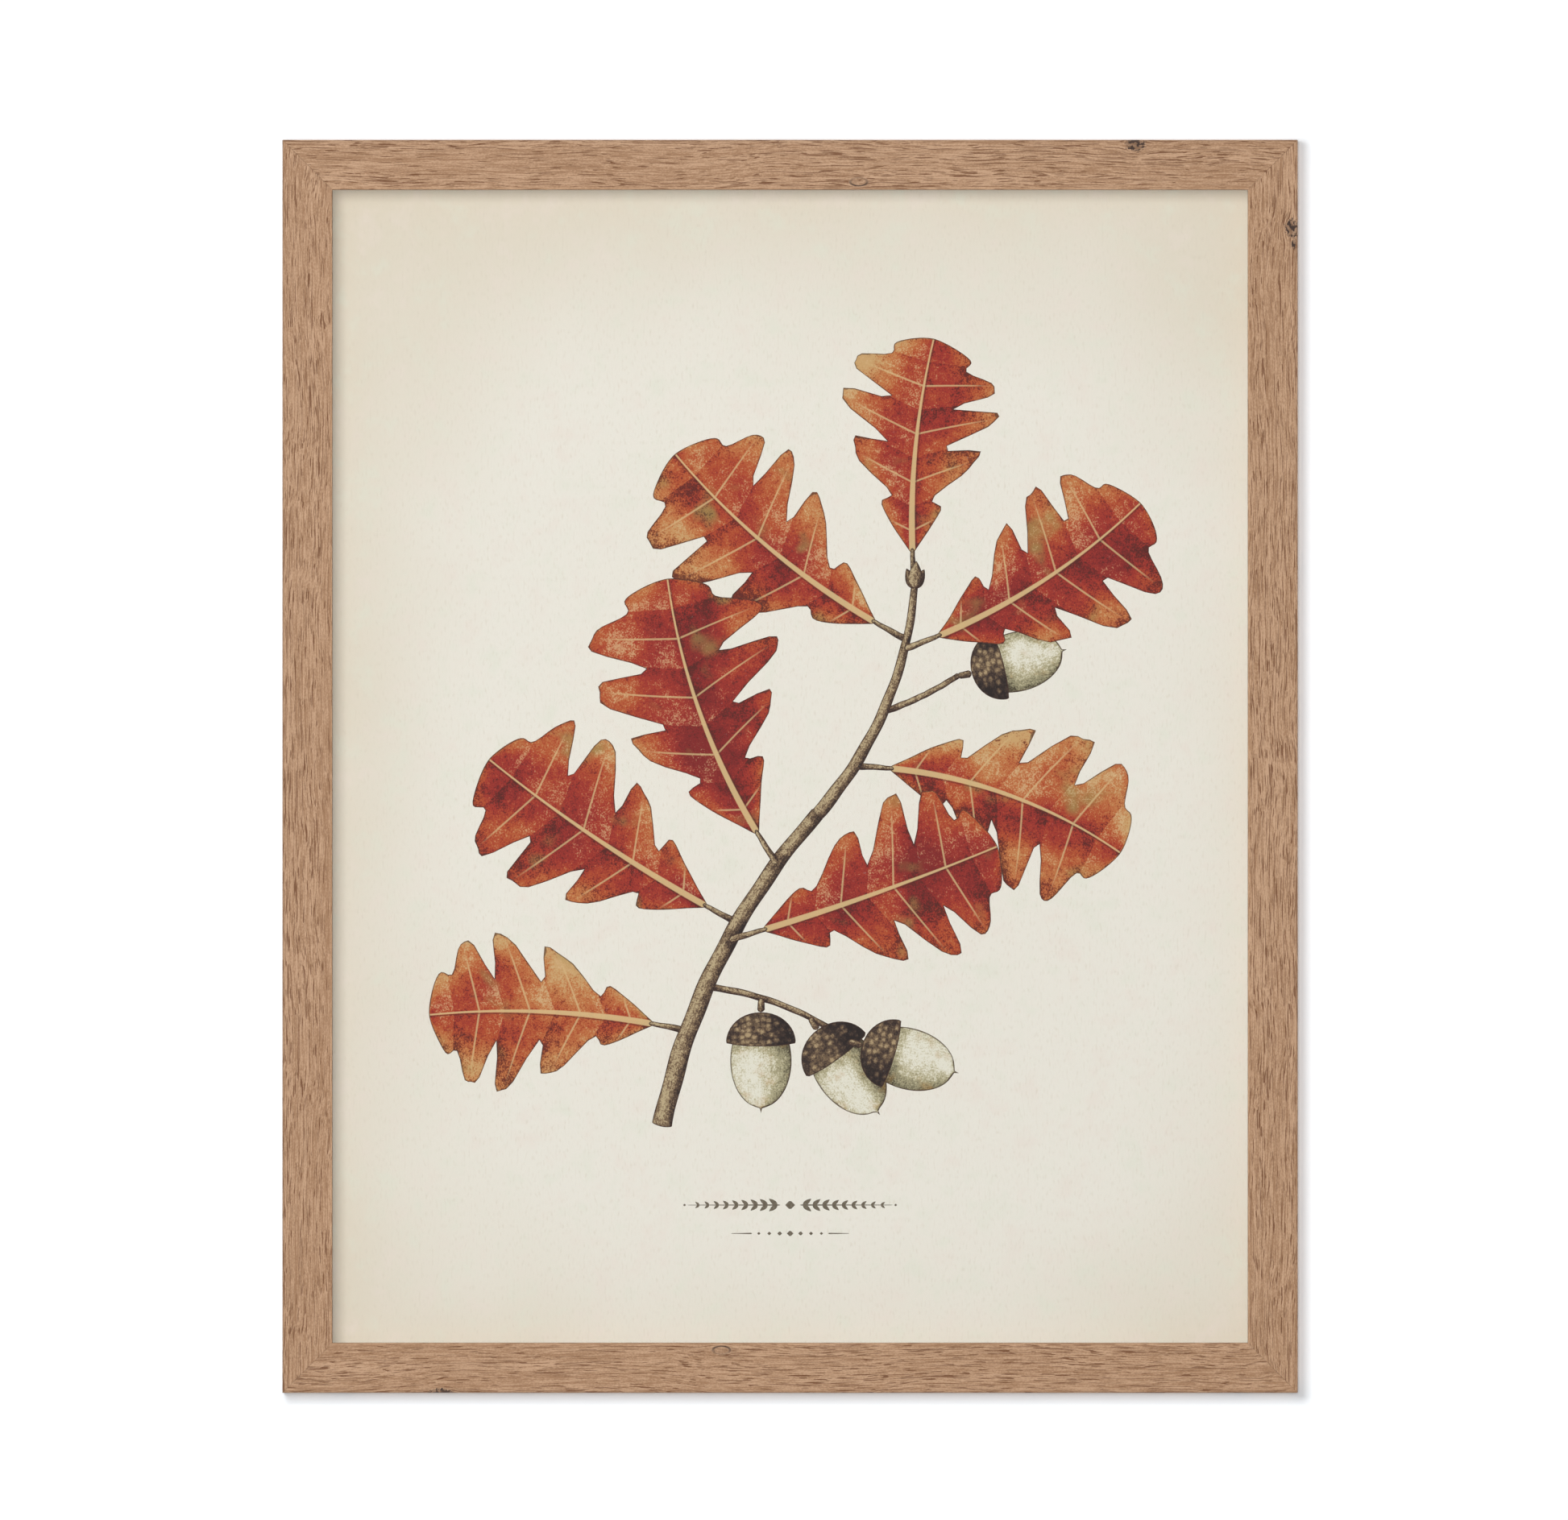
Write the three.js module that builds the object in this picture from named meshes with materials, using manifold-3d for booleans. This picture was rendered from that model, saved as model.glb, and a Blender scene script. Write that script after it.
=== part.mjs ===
// A framed print, ready to hang: four mitred oak sticks around a pane of glass, a printed sheet
// and a backing board, held in by steel points, with a sawtooth hanger and two wall bumpers.
//
// Millimetres, +Z up. The picture faces -Y and the wall is the plane y = 0. The origin is the top
// of the hanger's middle notch, where the shank of a nail or hook in the wall bears.
// "left" and "right" are the viewer's.

import * as THREE from "three";
import { mergeVertices } from "three/addons/utils/BufferGeometryUtils.js";
import Module from "manifold-3d";

const wasm = await Module();
wasm.setup();

// ---- Driving dimensions ----

const SHEET_WIDTH = 400; // the print, and the glass and board cut to match it
const SHEET_HEIGHT = 500;
const SIDE_PLAY = 1; // room beside the pack in the rebate; it stands on the bottom rail
const LIP_COVER = 7; // how far the lip laps over the centred sheet
const FACE_WIDTH = 21; // the moulding, seen from the front
const FRAME_DEPTH = 22; // the moulding, front to back
const LIP_DEPTH = 7; // front face to glass
const OUTER_EDGE_RADIUS = 0.4;
const SIGHT_EDGE_RADIUS = 0.4;
const EDGE_SEGMENTS = 4;
const GLUE_LINE = 0.2; // gap between two mitred ends

const GLASS_THICKNESS = 2;
const PRINT_THICKNESS = 0.25;
const BOARD_THICKNESS = 3;
const STANDOFF = 3; // back of the moulding to the wall
const FIT_CLEARANCE = 0.3; // around a metal piece driven into the wood

const TAB = { width: 6, thickness: 0.5, buried: 6, reach: 9, point: 2 };
const TABS_ACROSS = [-120, 120]; // along the top and bottom rails
const TABS_UPRIGHT = [-170, 0, 170]; // along the stiles
const V_NAIL = { leg: 4, thickness: 0.6, length: 10, sunk: 0.5 };
const V_NAIL_APEXES = { outer: 2.5, inner: 7.5 }; // from both outer edges of a corner
const HANGER = { height: 9, gauge: 0.9, foot: 9, ramp: 2, halfRaised: 14, wallGap: 0.3 };
const NOTCH = { pitch: 3, width: 2.4, depth: 1.6, count: 9 };
const HANGER_TOP_MARGIN = 2.1; // top of the frame to the top of the hanger
const NAIL = { shank: 0.7, head: 2, dome: 0.8, length: 10, point: 2, segments: 20 };
const BUMPER = { radius: 4.5, crown: 3.8, chamfer: 0.7, segments: 32, fromCorner: 25 };

// ---- Dimensions that follow ----

const REBATE_COVER = LIP_COVER + SIDE_PLAY; // width of the rebate behind the lip
const LAND = FACE_WIDTH - REBATE_COVER; // flat back of a stick, outside the rebate
const FRAME_WIDTH = SHEET_WIDTH - 2 * LIP_COVER + 2 * FACE_WIDTH;
const FRAME_HEIGHT = SHEET_HEIGHT - 2 * LIP_COVER + 2 * FACE_WIDTH;
const BACK_Y = -STANDOFF;
const FRONT_Y = BACK_Y - FRAME_DEPTH;
const HANGER_TOP = HANGER.height - NOTCH.depth;
const FRAME_CENTRE_Z = HANGER_TOP + HANGER_TOP_MARGIN - FRAME_HEIGHT / 2;
const BOARD_BACK = LIP_DEPTH + GLASS_THICKNESS + PRINT_THICKNESS + BOARD_THICKNESS;
const FOOT_CENTRE_X = HANGER.halfRaised + HANGER.ramp + HANGER.foot / 2;
const HANGER_MID_Z = HANGER_TOP - HANGER.height / 2;

// ---- Materials ----

const finish = (color, roughness, metalness = 0) =>
  new THREE.MeshStandardMaterial({ color, roughness, metalness });
const OAK = finish(0xae8b6d, 0.62);
const GLASS = finish(0xeef4f2, 0.05);
GLASS.transparent = true;
GLASS.opacity = 0.12;
const PAPER = finish(0xe6dfcf, 0.9);
const HARDBOARD = finish(0x8a6a4c, 0.8);
const STEEL = finish(0xb4b6b8, 0.35, 1);
const BRASS_PLATE = finish(0xc2a15a, 0.35, 1);
const BUMPER_FELT = finish(0x6e6c68, 0.95);

// ---- Solids ----

// A closed three.js geometry as a manifold-3d solid.
function toSolid(geometry) {
  const bare = geometry.index ? geometry.toNonIndexed() : geometry.clone();
  bare.deleteAttribute("normal");
  bare.deleteAttribute("uv");
  const merged = mergeVertices(bare, 1e-4);
  const vertProperties = merged.attributes.position.array;
  const triVerts = new Uint32Array(merged.index.array);
  return new wasm.Manifold(new wasm.Mesh({ numProp: 3, vertProperties, triVerts }));
}

// A manifold-3d solid as a three.js geometry.
function toGeometry(solid) {
  const mesh = solid.getMesh();
  const geometry = new THREE.BufferGeometry();
  geometry.setAttribute("position", new THREE.BufferAttribute(mesh.vertProperties, 3));
  geometry.setIndex(new THREE.BufferAttribute(mesh.triVerts, 1));
  geometry.computeVertexNormals();
  return geometry;
}

// The geometry with every cutter's volume taken out of it.
function cut(geometry, cutters) {
  const whole = toSolid(geometry);
  return toGeometry(cutters.reduce((solid, cutter) => solid.subtract(toSolid(cutter)), whole));
}

// A closed shape through the given [x, y] corners.
const polygon = (corners) => new THREE.Shape(corners.map(([x, y]) => new THREE.Vector2(x, y)));

// A plate in a stick's own frame. Its plan is drawn as (along the stick, inward from the outer
// edge), and it lies between two depths behind the front face.
function plate(plan, depthFrom, depthTo) {
  const options = { depth: depthTo - depthFrom, bevelEnabled: false };
  const geometry = new THREE.ExtrudeGeometry(plan, options);
  return geometry.rotateX(-Math.PI / 2).translate(0, FRONT_Y + depthFrom, 0);
}

// A turned piece about a line parallel to Y, from a profile of [radius, y] points in rising y.
function turned(profile, segments, x, z) {
  const points = profile.map(([radius, y]) => new THREE.Vector2(radius, y));
  return new THREE.LatheGeometry(points, segments).translate(x, 0, z);
}

// A named mesh in a group.
function add(group, name, geometry, material) {
  const mesh = new THREE.Mesh(geometry, material);
  mesh.name = name;
  group.add(mesh);
  return mesh;
}

// ---- Moulding ----

// The stick's section: (inward from the outer edge, back from the front face), with both front
// edges rounded and a rebate cut out of the inner back corner.
function mouldingSection() {
  const section = new THREE.Shape();
  section.moveTo(0, OUTER_EDGE_RADIUS);
  section.absarc(OUTER_EDGE_RADIUS, OUTER_EDGE_RADIUS, OUTER_EDGE_RADIUS, Math.PI, 1.5 * Math.PI);
  section.absarc(
    FACE_WIDTH - SIGHT_EDGE_RADIUS,
    SIGHT_EDGE_RADIUS,
    SIGHT_EDGE_RADIUS,
    1.5 * Math.PI,
    2 * Math.PI,
  );
  section.lineTo(FACE_WIDTH, LIP_DEPTH);
  section.lineTo(LAND, LIP_DEPTH);
  section.lineTo(LAND, FRAME_DEPTH);
  section.lineTo(0, FRAME_DEPTH);
  section.closePath();
  return section;
}

// A stick along X with its outer edge at z = 0 and its inside towards -Z. The section is swept
// over a unit length, and each of its points is then drawn out to the two mitre planes.
function mitredStick(length) {
  const options = { depth: 1, steps: 1, bevelEnabled: false, curveSegments: EDGE_SEGMENTS };
  const geometry = new THREE.ExtrudeGeometry(mouldingSection(), options);
  const position = geometry.attributes.position;
  for (let i = 0; i < position.count; i++) {
    const inward = position.getX(i);
    const half = length / 2 - inward - GLUE_LINE / Math.SQRT2;
    const end = 2 * position.getZ(i) - 1;
    position.setXYZ(i, end * half, FRONT_Y + position.getY(i), -inward);
  }
  return geometry;
}

// ---- Metal driven into the wood ----

// Plan of a flat point: pointed where it is driven in, round where it lies over the board.
function tabPlan(along) {
  const half = TAB.width / 2;
  const buriedEnd = LAND - TAB.buried;
  const plan = new THREE.Shape();
  plan.moveTo(along, buriedEnd);
  plan.lineTo(along + half, buriedEnd + TAB.point);
  plan.absarc(along, LAND + TAB.reach - half, half, 0, Math.PI);
  plan.lineTo(along - half, buriedEnd + TAB.point);
  plan.closePath();
  return plan;
}

const tab = (along) => plate(tabPlan(along), BOARD_BACK, BOARD_BACK + TAB.thickness);

// The slot that a flat point is driven into, in the rebate's wall.
function tabSlot(along) {
  const half = TAB.width / 2 + FIT_CLEARANCE;
  const deep = LAND - TAB.buried - FIT_CLEARANCE;
  const past = LAND + FIT_CLEARANCE;
  const plan = polygon([
    [along - half, deep],
    [along + half, deep],
    [along + half, past],
    [along - half, past],
  ]);
  const depthTo = BOARD_BACK + TAB.thickness + FIT_CLEARANCE;
  return plate(plan, BOARD_BACK - FIT_CLEARANCE, depthTo);
}

// Plan of a V-nail across the mitre at one end of a stick (end is -1 or 1). Its legs run along
// the two sticks that it pins, and it grows all round by the clearance.
function vNailPlan(stickLength, end, apex, clearance = 0) {
  const from = apex - clearance;
  const bend = apex + V_NAIL.thickness + clearance;
  const to = apex + V_NAIL.leg + clearance;
  const corners = [
    [from, from],
    [from, to],
    [bend, to],
    [bend, bend],
    [to, bend],
    [to, from],
  ];
  const placed = corners.map(([along, inward]) => [end * (stickLength / 2 - along), inward]);
  return polygon(end > 0 ? placed : placed.reverse());
}

function vNail(stickLength, end, apex) {
  const depthTo = FRAME_DEPTH - V_NAIL.sunk;
  return plate(vNailPlan(stickLength, end, apex), depthTo - V_NAIL.length, depthTo);
}

// The slots of both V-nails at one end of a stick, open at the back.
function vNailSlots(stickLength, end) {
  const depthFrom = FRAME_DEPTH - V_NAIL.sunk - V_NAIL.length - FIT_CLEARANCE;
  return Object.values(V_NAIL_APEXES).map((apex) =>
    plate(vNailPlan(stickLength, end, apex, FIT_CLEARANCE), depthFrom, FRAME_DEPTH + 1),
  );
}

// ---- Hanger ----

// The strip's section across its length: flat feet on the wood and a middle raised off it, so
// that the head of a nail in the wall goes behind. It is drawn in world x and y.
function hangerSection() {
  const raisedBack = -HANGER.wallGap;
  const lean = HANGER.gauge / 2; // keeps the ramps about as thick as the strip
  const half = [
    [HANGER.halfRaised, raisedBack - HANGER.gauge],
    [HANGER.halfRaised + HANGER.ramp, BACK_Y],
    [HANGER.halfRaised + HANGER.ramp + HANGER.foot, BACK_Y],
    [HANGER.halfRaised + HANGER.ramp + HANGER.foot, BACK_Y + HANGER.gauge],
    [HANGER.halfRaised + HANGER.ramp + lean, BACK_Y + HANGER.gauge],
    [HANGER.halfRaised + lean, raisedBack],
  ];
  const mirrored = half.map(([x, y]) => [-x, y]).reverse();
  return polygon([...half, ...mirrored]);
}

// The notches along the hanger's lower edge, with the middle one's top at the origin.
function notchCutters() {
  const middle = (NOTCH.count - 1) / 2;
  return Array.from({ length: NOTCH.count }, (_, i) => {
    const x = (i - middle) * NOTCH.pitch;
    const overshoot = 1;
    const widening = NOTCH.width / 2 / NOTCH.depth; // half width per unit of depth
    const half = widening * (NOTCH.depth + overshoot);
    const below = -NOTCH.depth - overshoot;
    const wedge = polygon([
      [x, 0],
      [x - half, below],
      [x + half, below],
    ]);
    const options = { depth: 2 * STANDOFF, bevelEnabled: false };
    return new THREE.ExtrudeGeometry(wedge, options).rotateX(Math.PI / 2).translate(0, STANDOFF, 0);
  });
}

// A hole for a hanger nail, along Y and centred on the back of the moulding.
function nailHole(x, z) {
  const radius = NAIL.shank + FIT_CLEARANCE;
  const deep = 2 * (NAIL.length + FIT_CLEARANCE);
  return new THREE.CylinderGeometry(radius, radius, deep, NAIL.segments).translate(x, BACK_Y, z);
}

function hanger() {
  const options = { depth: HANGER.height, bevelEnabled: false };
  const strip = new THREE.ExtrudeGeometry(hangerSection(), options);
  strip.translate(0, 0, -NOTCH.depth);
  const holes = [-1, 1].map((side) => nailHole(side * FOOT_CENTRE_X, HANGER_MID_Z));
  return cut(strip, [...notchCutters(), ...holes]);
}

// A round-headed nail driven through one foot of the hanger, its head towards the wall.
function hangerNail(side) {
  const underHead = BACK_Y + HANGER.gauge;
  const tip = BACK_Y - NAIL.length;
  const profile = [
    [0, tip],
    [NAIL.shank, tip + NAIL.point],
    [NAIL.shank, underHead],
    [NAIL.head, underHead],
    [NAIL.head * 0.85, underHead + NAIL.dome * 0.6],
    [NAIL.head * 0.5, underHead + NAIL.dome * 0.9],
    [0, underHead + NAIL.dome],
  ];
  return turned(profile, NAIL.segments, side * FOOT_CENTRE_X, HANGER_MID_Z);
}

// ---- Bumper ----

// A round pad stuck to the back, in a stick's own frame. Its outer face lies on the wall.
function bumper(along) {
  const profile = [
    [0, BACK_Y],
    [BUMPER.radius, BACK_Y],
    [BUMPER.radius, -BUMPER.chamfer],
    [BUMPER.crown, 0],
    [0, 0],
  ];
  return turned(profile, BUMPER.segments, along, -LAND / 2);
}

// ---- Assembly ----

const framedPrint = new THREE.Group();
const frame = new THREE.Group();
frame.position.z = FRAME_CENTRE_Z;
framedPrint.add(frame);

// One side of the frame: a stick and the flat points driven into it. The group is turned about
// the frame's centre, and inside it the stick's outer edge faces +Z. Cutters are in the stick's
// own frame.
function side({ name, turn, length, across, tabs, cutters = [] }) {
  const turnedGroup = new THREE.Group();
  turnedGroup.rotation.y = turn;
  frame.add(turnedGroup);
  const stickFrame = new THREE.Group();
  stickFrame.position.z = across / 2;
  turnedGroup.add(stickFrame);
  const slots = [...tabs.map(tabSlot), ...vNailSlots(length, -1), ...vNailSlots(length, 1)];
  add(stickFrame, name, cut(mitredStick(length), [...slots, ...cutters]), OAK);
  tabs.forEach((along, i) => add(stickFrame, `${name}_tab_${i + 1}`, tab(along), STEEL));
  return stickFrame;
}

const across = { length: FRAME_WIDTH, across: FRAME_HEIGHT, tabs: TABS_ACROSS };
const upright = { length: FRAME_HEIGHT, across: FRAME_WIDTH, tabs: TABS_UPRIGHT };
const FRAME_TOP = FRAME_CENTRE_Z + FRAME_HEIGHT / 2;
const hangerHoles = [-1, 1].map((end) => nailHole(end * FOOT_CENTRE_X, HANGER_MID_Z - FRAME_TOP));

const top = side({ name: "rail_top", turn: 0, ...across, cutters: hangerHoles });
const bottom = side({ name: "rail_bottom", turn: Math.PI, ...across });
side({ name: "stile_right", turn: Math.PI / 2, ...upright });
side({ name: "stile_left", turn: -Math.PI / 2, ...upright });

// The bottom rail is turned half round, so its ends swap sides.
for (const [place, apex] of Object.entries(V_NAIL_APEXES)) {
  for (const [hand, end] of Object.entries({ left: -1, right: 1 })) {
    add(top, `v_nail_top_${hand}_${place}`, vNail(FRAME_WIDTH, end, apex), STEEL);
    add(bottom, `v_nail_bottom_${hand}_${place}`, vNail(FRAME_WIDTH, -end, apex), STEEL);
  }
}

// The pack of glass, print and board, from the lip back, standing on the bottom rail.
const pack = new THREE.Group();
pack.position.set(0, FRONT_Y + LIP_DEPTH, -SIDE_PLAY);
frame.add(pack);
let packDepth = 0;
for (const [name, thickness, material] of [
  ["glazing", GLASS_THICKNESS, GLASS],
  ["print_sheet", PRINT_THICKNESS, PAPER],
  ["backing_board", BOARD_THICKNESS, HARDBOARD],
]) {
  const sheet = new THREE.BoxGeometry(SHEET_WIDTH, thickness, SHEET_HEIGHT);
  add(pack, name, sheet, material).position.y = packDepth + thickness / 2;
  packDepth += thickness;
}

add(framedPrint, "hanger", hanger(), BRASS_PLATE);
for (const [hand, end] of Object.entries({ left: -1, right: 1 })) {
  add(framedPrint, `hanger_nail_${hand}`, hangerNail(end), BRASS_PLATE);
  const along = -end * (FRAME_WIDTH / 2 - BUMPER.fromCorner);
  add(bottom, `bumper_${hand}`, bumper(along), BUMPER_FELT);
}

export default framedPrint;
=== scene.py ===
"""A framed print, ready to hang: an oak frame, picture glass, a printed sheet and its back.

Each sub-assembly is a class that builds its own meshes and dresses them. Shapes are worked out in
millimetres, in the frame of the solids: +Z up, the picture faces -Y, and the wall is y = 0.
"""

import logging
import math
from abc import ABC, abstractmethod
from dataclasses import dataclass, field
from enum import Enum
from typing import ClassVar, Iterable, Optional, Sequence, Union

import bmesh
import bpy
import numpy as np
from mathutils import Matrix, Vector, noise
from mathutils.geometry import delaunay_2d_cdt


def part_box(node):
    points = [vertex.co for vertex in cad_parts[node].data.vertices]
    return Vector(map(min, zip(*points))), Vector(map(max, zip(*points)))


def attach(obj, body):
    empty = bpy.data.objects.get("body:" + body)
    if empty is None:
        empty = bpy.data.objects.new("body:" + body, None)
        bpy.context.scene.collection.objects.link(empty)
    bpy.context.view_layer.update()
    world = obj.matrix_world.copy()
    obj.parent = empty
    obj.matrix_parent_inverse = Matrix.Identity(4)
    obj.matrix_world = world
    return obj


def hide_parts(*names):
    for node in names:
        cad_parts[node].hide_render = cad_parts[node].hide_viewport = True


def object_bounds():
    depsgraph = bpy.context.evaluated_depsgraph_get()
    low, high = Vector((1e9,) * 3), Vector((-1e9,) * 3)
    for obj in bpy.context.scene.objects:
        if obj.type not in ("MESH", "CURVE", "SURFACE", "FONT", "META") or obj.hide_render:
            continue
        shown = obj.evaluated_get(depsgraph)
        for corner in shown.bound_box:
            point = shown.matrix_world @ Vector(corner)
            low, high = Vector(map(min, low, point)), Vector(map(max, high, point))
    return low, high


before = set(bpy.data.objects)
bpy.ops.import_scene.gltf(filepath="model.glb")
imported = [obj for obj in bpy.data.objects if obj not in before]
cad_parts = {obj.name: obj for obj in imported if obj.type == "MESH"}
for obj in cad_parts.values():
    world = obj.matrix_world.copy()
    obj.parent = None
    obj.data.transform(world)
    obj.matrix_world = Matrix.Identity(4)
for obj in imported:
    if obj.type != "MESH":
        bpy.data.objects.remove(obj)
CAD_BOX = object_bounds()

LOG = logging.getLogger("framed_print")
BODY = "root"
MM = 0.001  # metres in a millimetre
WELD = 1e-6  # metres within which a solid's points are one
FLAT, SHARP = math.radians(1), math.radians(30)  # a turn that is none, and one that is an edge

Colour = tuple[float, float, float, float]
Triple = tuple[float, float, float]
Value = Union[float, Sequence[float], "Signal"]
Signals = dict[str, "Signal"]

ORIGIN: Triple = (0.0, 0.0, 0.0)
WHITE: Colour = (1.0, 1.0, 1.0, 1.0)
FLOAT, VECTOR, COLOUR = "NodeSocketFloat", "NodeSocketVector", "NodeSocketColor"


def srgb(*channels: float) -> Colour:
    """A display colour of 0 to 255 a channel as opaque linear light."""
    shares = (channel / 255 for channel in channels)
    return (*(s / 12.92 if s <= 0.04045 else ((s + 0.055) / 1.055) ** 2.4 for s in shares), 1.0)


# ---- Shader graphs ----


class Signal:
    """A node's output, whose sums add Math nodes to its graph."""

    def __init__(self, graph: "Graph", socket: bpy.types.NodeSocket) -> None:
        """Wraps an output."""
        self.graph, self.socket = graph, socket

    def __add__(self, other: Value) -> "Signal":
        """The two together."""
        return self.graph.math("ADD", self, other)

    def __sub__(self, other: Value) -> "Signal":
        """This less the other."""
        return self.graph.math("SUBTRACT", self, other)

    def __rsub__(self, other: float) -> "Signal":
        """A number less this."""
        return self.graph.math("SUBTRACT", other, self)

    def __mul__(self, other: Value) -> "Signal":
        """The two multiplied."""
        return self.graph.math("MULTIPLY", self, other)

    def __truediv__(self, other: Value) -> "Signal":
        """This over the other."""
        return self.graph.math("DIVIDE", self, other)

    def __pow__(self, power: float) -> "Signal":
        """This raised to a power."""
        return self.graph.math("POWER", self, power)

    def __abs__(self) -> "Signal":
        """This without its sign."""
        return self.graph.math("ABSOLUTE", self)

    def spread(self, low: float, high: float, to_low: float = 0.0, to_high: float = 1.0) -> "Signal":
        """Maps a range on to another with smooth ends.

        Args:
            low: Start of the range.
            high: End of the range, which may be below its start.
            to_low: What the start becomes.
            to_high: What the end becomes.

        Returns:
            The mapped value.
        """
        feeds = {"Value": self, "From Min": low, "From Max": high, "To Min": to_low, "To Max": to_high}
        return self.graph.signal("ShaderNodeMapRange", feeds, "Result", interpolation_type="SMOOTHSTEP")


class Graph:
    """Adds and links the nodes of one node tree."""

    def __init__(self, tree: bpy.types.NodeTree) -> None:
        """Starts on the tree that takes the nodes."""
        self.tree = tree

    def node(
        self, kind: str, feeds: Optional[dict[Union[str, int], Value]] = None, **settings: object
    ) -> bpy.types.Node:
        """Adds a node.

        Args:
            kind: The node's type name.
            feeds: What each input gets.
            settings: The node's own properties.

        Returns:
            The node.
        """
        made = self.tree.nodes.new(kind)
        for name, setting in settings.items():
            setattr(made, name, setting)
        for key, value in (feeds or {}).items():
            self.feed(made.inputs[key], value)
        return made

    def signal(
        self,
        kind: str,
        feeds: Optional[dict[Union[str, int], Value]] = None,
        output: Union[str, int] = 0,
        **settings: object,
    ) -> Signal:
        """One output of a new node."""
        return Signal(self, self.node(kind, feeds, **settings).outputs[output])

    def feed(self, socket: bpy.types.NodeSocket, value: Value) -> None:
        """Links a signal to an input, or sets the input's own value."""
        if isinstance(value, Signal):
            self.tree.links.new(value.socket, socket)
        else:
            socket.default_value = value

    def math(self, operation: str, *values: Value, clamp: bool = False) -> Signal:
        """A Math node's result."""
        feeds = dict(enumerate(values))
        return self.signal("ShaderNodeMath", feeds, operation=operation, use_clamp=clamp)

    def vector(self, operation: str, *values: Value, output: str = "Vector") -> Signal:
        """A Vector Math node's result."""
        return self.signal("ShaderNodeVectorMath", dict(enumerate(values)), output, operation=operation)

    def split(self, vector: Signal) -> tuple[Signal, ...]:
        """The three parts of a vector."""
        parts = self.node("ShaderNodeSeparateXYZ", {0: vector}).outputs
        return tuple(Signal(self, part) for part in parts)

    def join(self, x: Value, y: Value, z: Value) -> Signal:
        """A vector of three values."""
        return self.signal("ShaderNodeCombineXYZ", {0: x, 1: y, 2: z})

    def blend(self, share: Value, first: Value, second: Value) -> Signal:
        """Mixes two colours, with a share of the second."""
        feeds = {0: share, 6: first, 7: second}  # the node's factor and its two colours
        return self.signal("ShaderNodeMix", feeds, 2, data_type="RGBA", clamp_factor=True)

    def noise(self, where: Value, size: Value, detail: float = 2.0, roughness: float = 0.5) -> Signal:
        """Smooth noise of about 0 to 1.

        Args:
            where: The place, in millimetres.
            size: The size of a feature, or its size along each axis, in millimetres.
            detail: How many finer layers it has.
            roughness: How strong the finer layers are.

        Returns:
            The noise value.
        """
        scaled = self.vector("DIVIDE", where, (size,) * 3 if isinstance(size, float) else size)
        feeds = {"Vector": scaled, "Scale": 1.0, "Detail": detail, "Roughness": roughness}
        return self.signal("ShaderNodeTexNoise", feeds, noise_dimensions="3D")

    def ramp(self, value: Signal, *stops: Sequence[float]) -> Signal:
        """A colour from a row of them.

        Args:
            value: The place in the row.
            stops: Each colour's place, red, green and blue, in rising order.

        Returns:
            The colour.
        """
        made = self.node("ShaderNodeValToRGB", {0: value})
        row = made.color_ramp.elements
        while len(row) < len(stops):
            row.new(1.0)
        for element, (place, *channels) in zip(row, stops):
            element.position, element.color = place, srgb(*channels)
        return Signal(self, made.outputs["Color"])

    def attribute(self, name: str) -> Signal:
        """A mesh attribute's vector."""
        return self.signal("ShaderNodeAttribute", None, "Vector", attribute_name=name)

    def place_mm(self) -> Signal:
        """The place on the object, in millimetres."""
        metres = self.signal("ShaderNodeTexCoord", None, "Object")
        return self.vector("DIVIDE", metres, (MM, MM, MM))

    def bump(self, height: Value, strength: float, distance: float) -> Signal:
        """The normal that a height gives, where a height of 1 stands for a distance in millimetres."""
        feeds = {"Strength": strength, "Distance": distance * MM, "Height": height}
        return self.signal("ShaderNodeBump", feeds, "Normal")


class Effect(ABC):
    """A shader node group, built once and placed with each material's own values."""

    title: ClassVar[str]
    takes: ClassVar[dict[str, Value]]
    gives: ClassVar[dict[str, str]]
    SOCKETS: ClassVar[dict[int, str]] = {1: FLOAT, 3: VECTOR, 4: COLOUR}

    @classmethod
    @abstractmethod
    def wire(cls, graph: Graph, given: Signals) -> Signals:
        """Wires the group.

        Args:
            graph: The group's own graph.
            given: The group's inputs by name.

        Returns:
            What each output gets.
        """

    @classmethod
    def group(cls) -> bpy.types.NodeTree:
        """The node group, made the first time it is asked for."""
        made = bpy.data.node_groups.get(cls.title)
        if made:
            return made
        made = bpy.data.node_groups.new(cls.title, "ShaderNodeTree")
        for name, value in cls.takes.items():
            kind = cls.SOCKETS[len(value) if isinstance(value, tuple) else 1]
            made.interface.new_socket(name, in_out="INPUT", socket_type=kind).default_value = value
        for name, kind in cls.gives.items():
            made.interface.new_socket(name, in_out="OUTPUT", socket_type=kind)
        graph = Graph(made)
        given = graph.node("NodeGroupInput").outputs
        results = cls.wire(graph, {name: Signal(graph, given[name]) for name in cls.takes})
        graph.node("NodeGroupOutput", results)
        return made

    @classmethod
    def place(cls, graph: Graph, **values: Value) -> Signals:
        """Puts the group in a material.

        Args:
            graph: The material's graph.
            values: The inputs by name, with an underscore for each space.

        Returns:
            The group's outputs by name.
        """
        feeds = {name.replace("_", " "): value for name, value in values.items()}
        made = graph.node("ShaderNodeGroup", feeds, node_tree=cls.group())
        return {name: Signal(graph, made.outputs[name]) for name in cls.gives}


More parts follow.
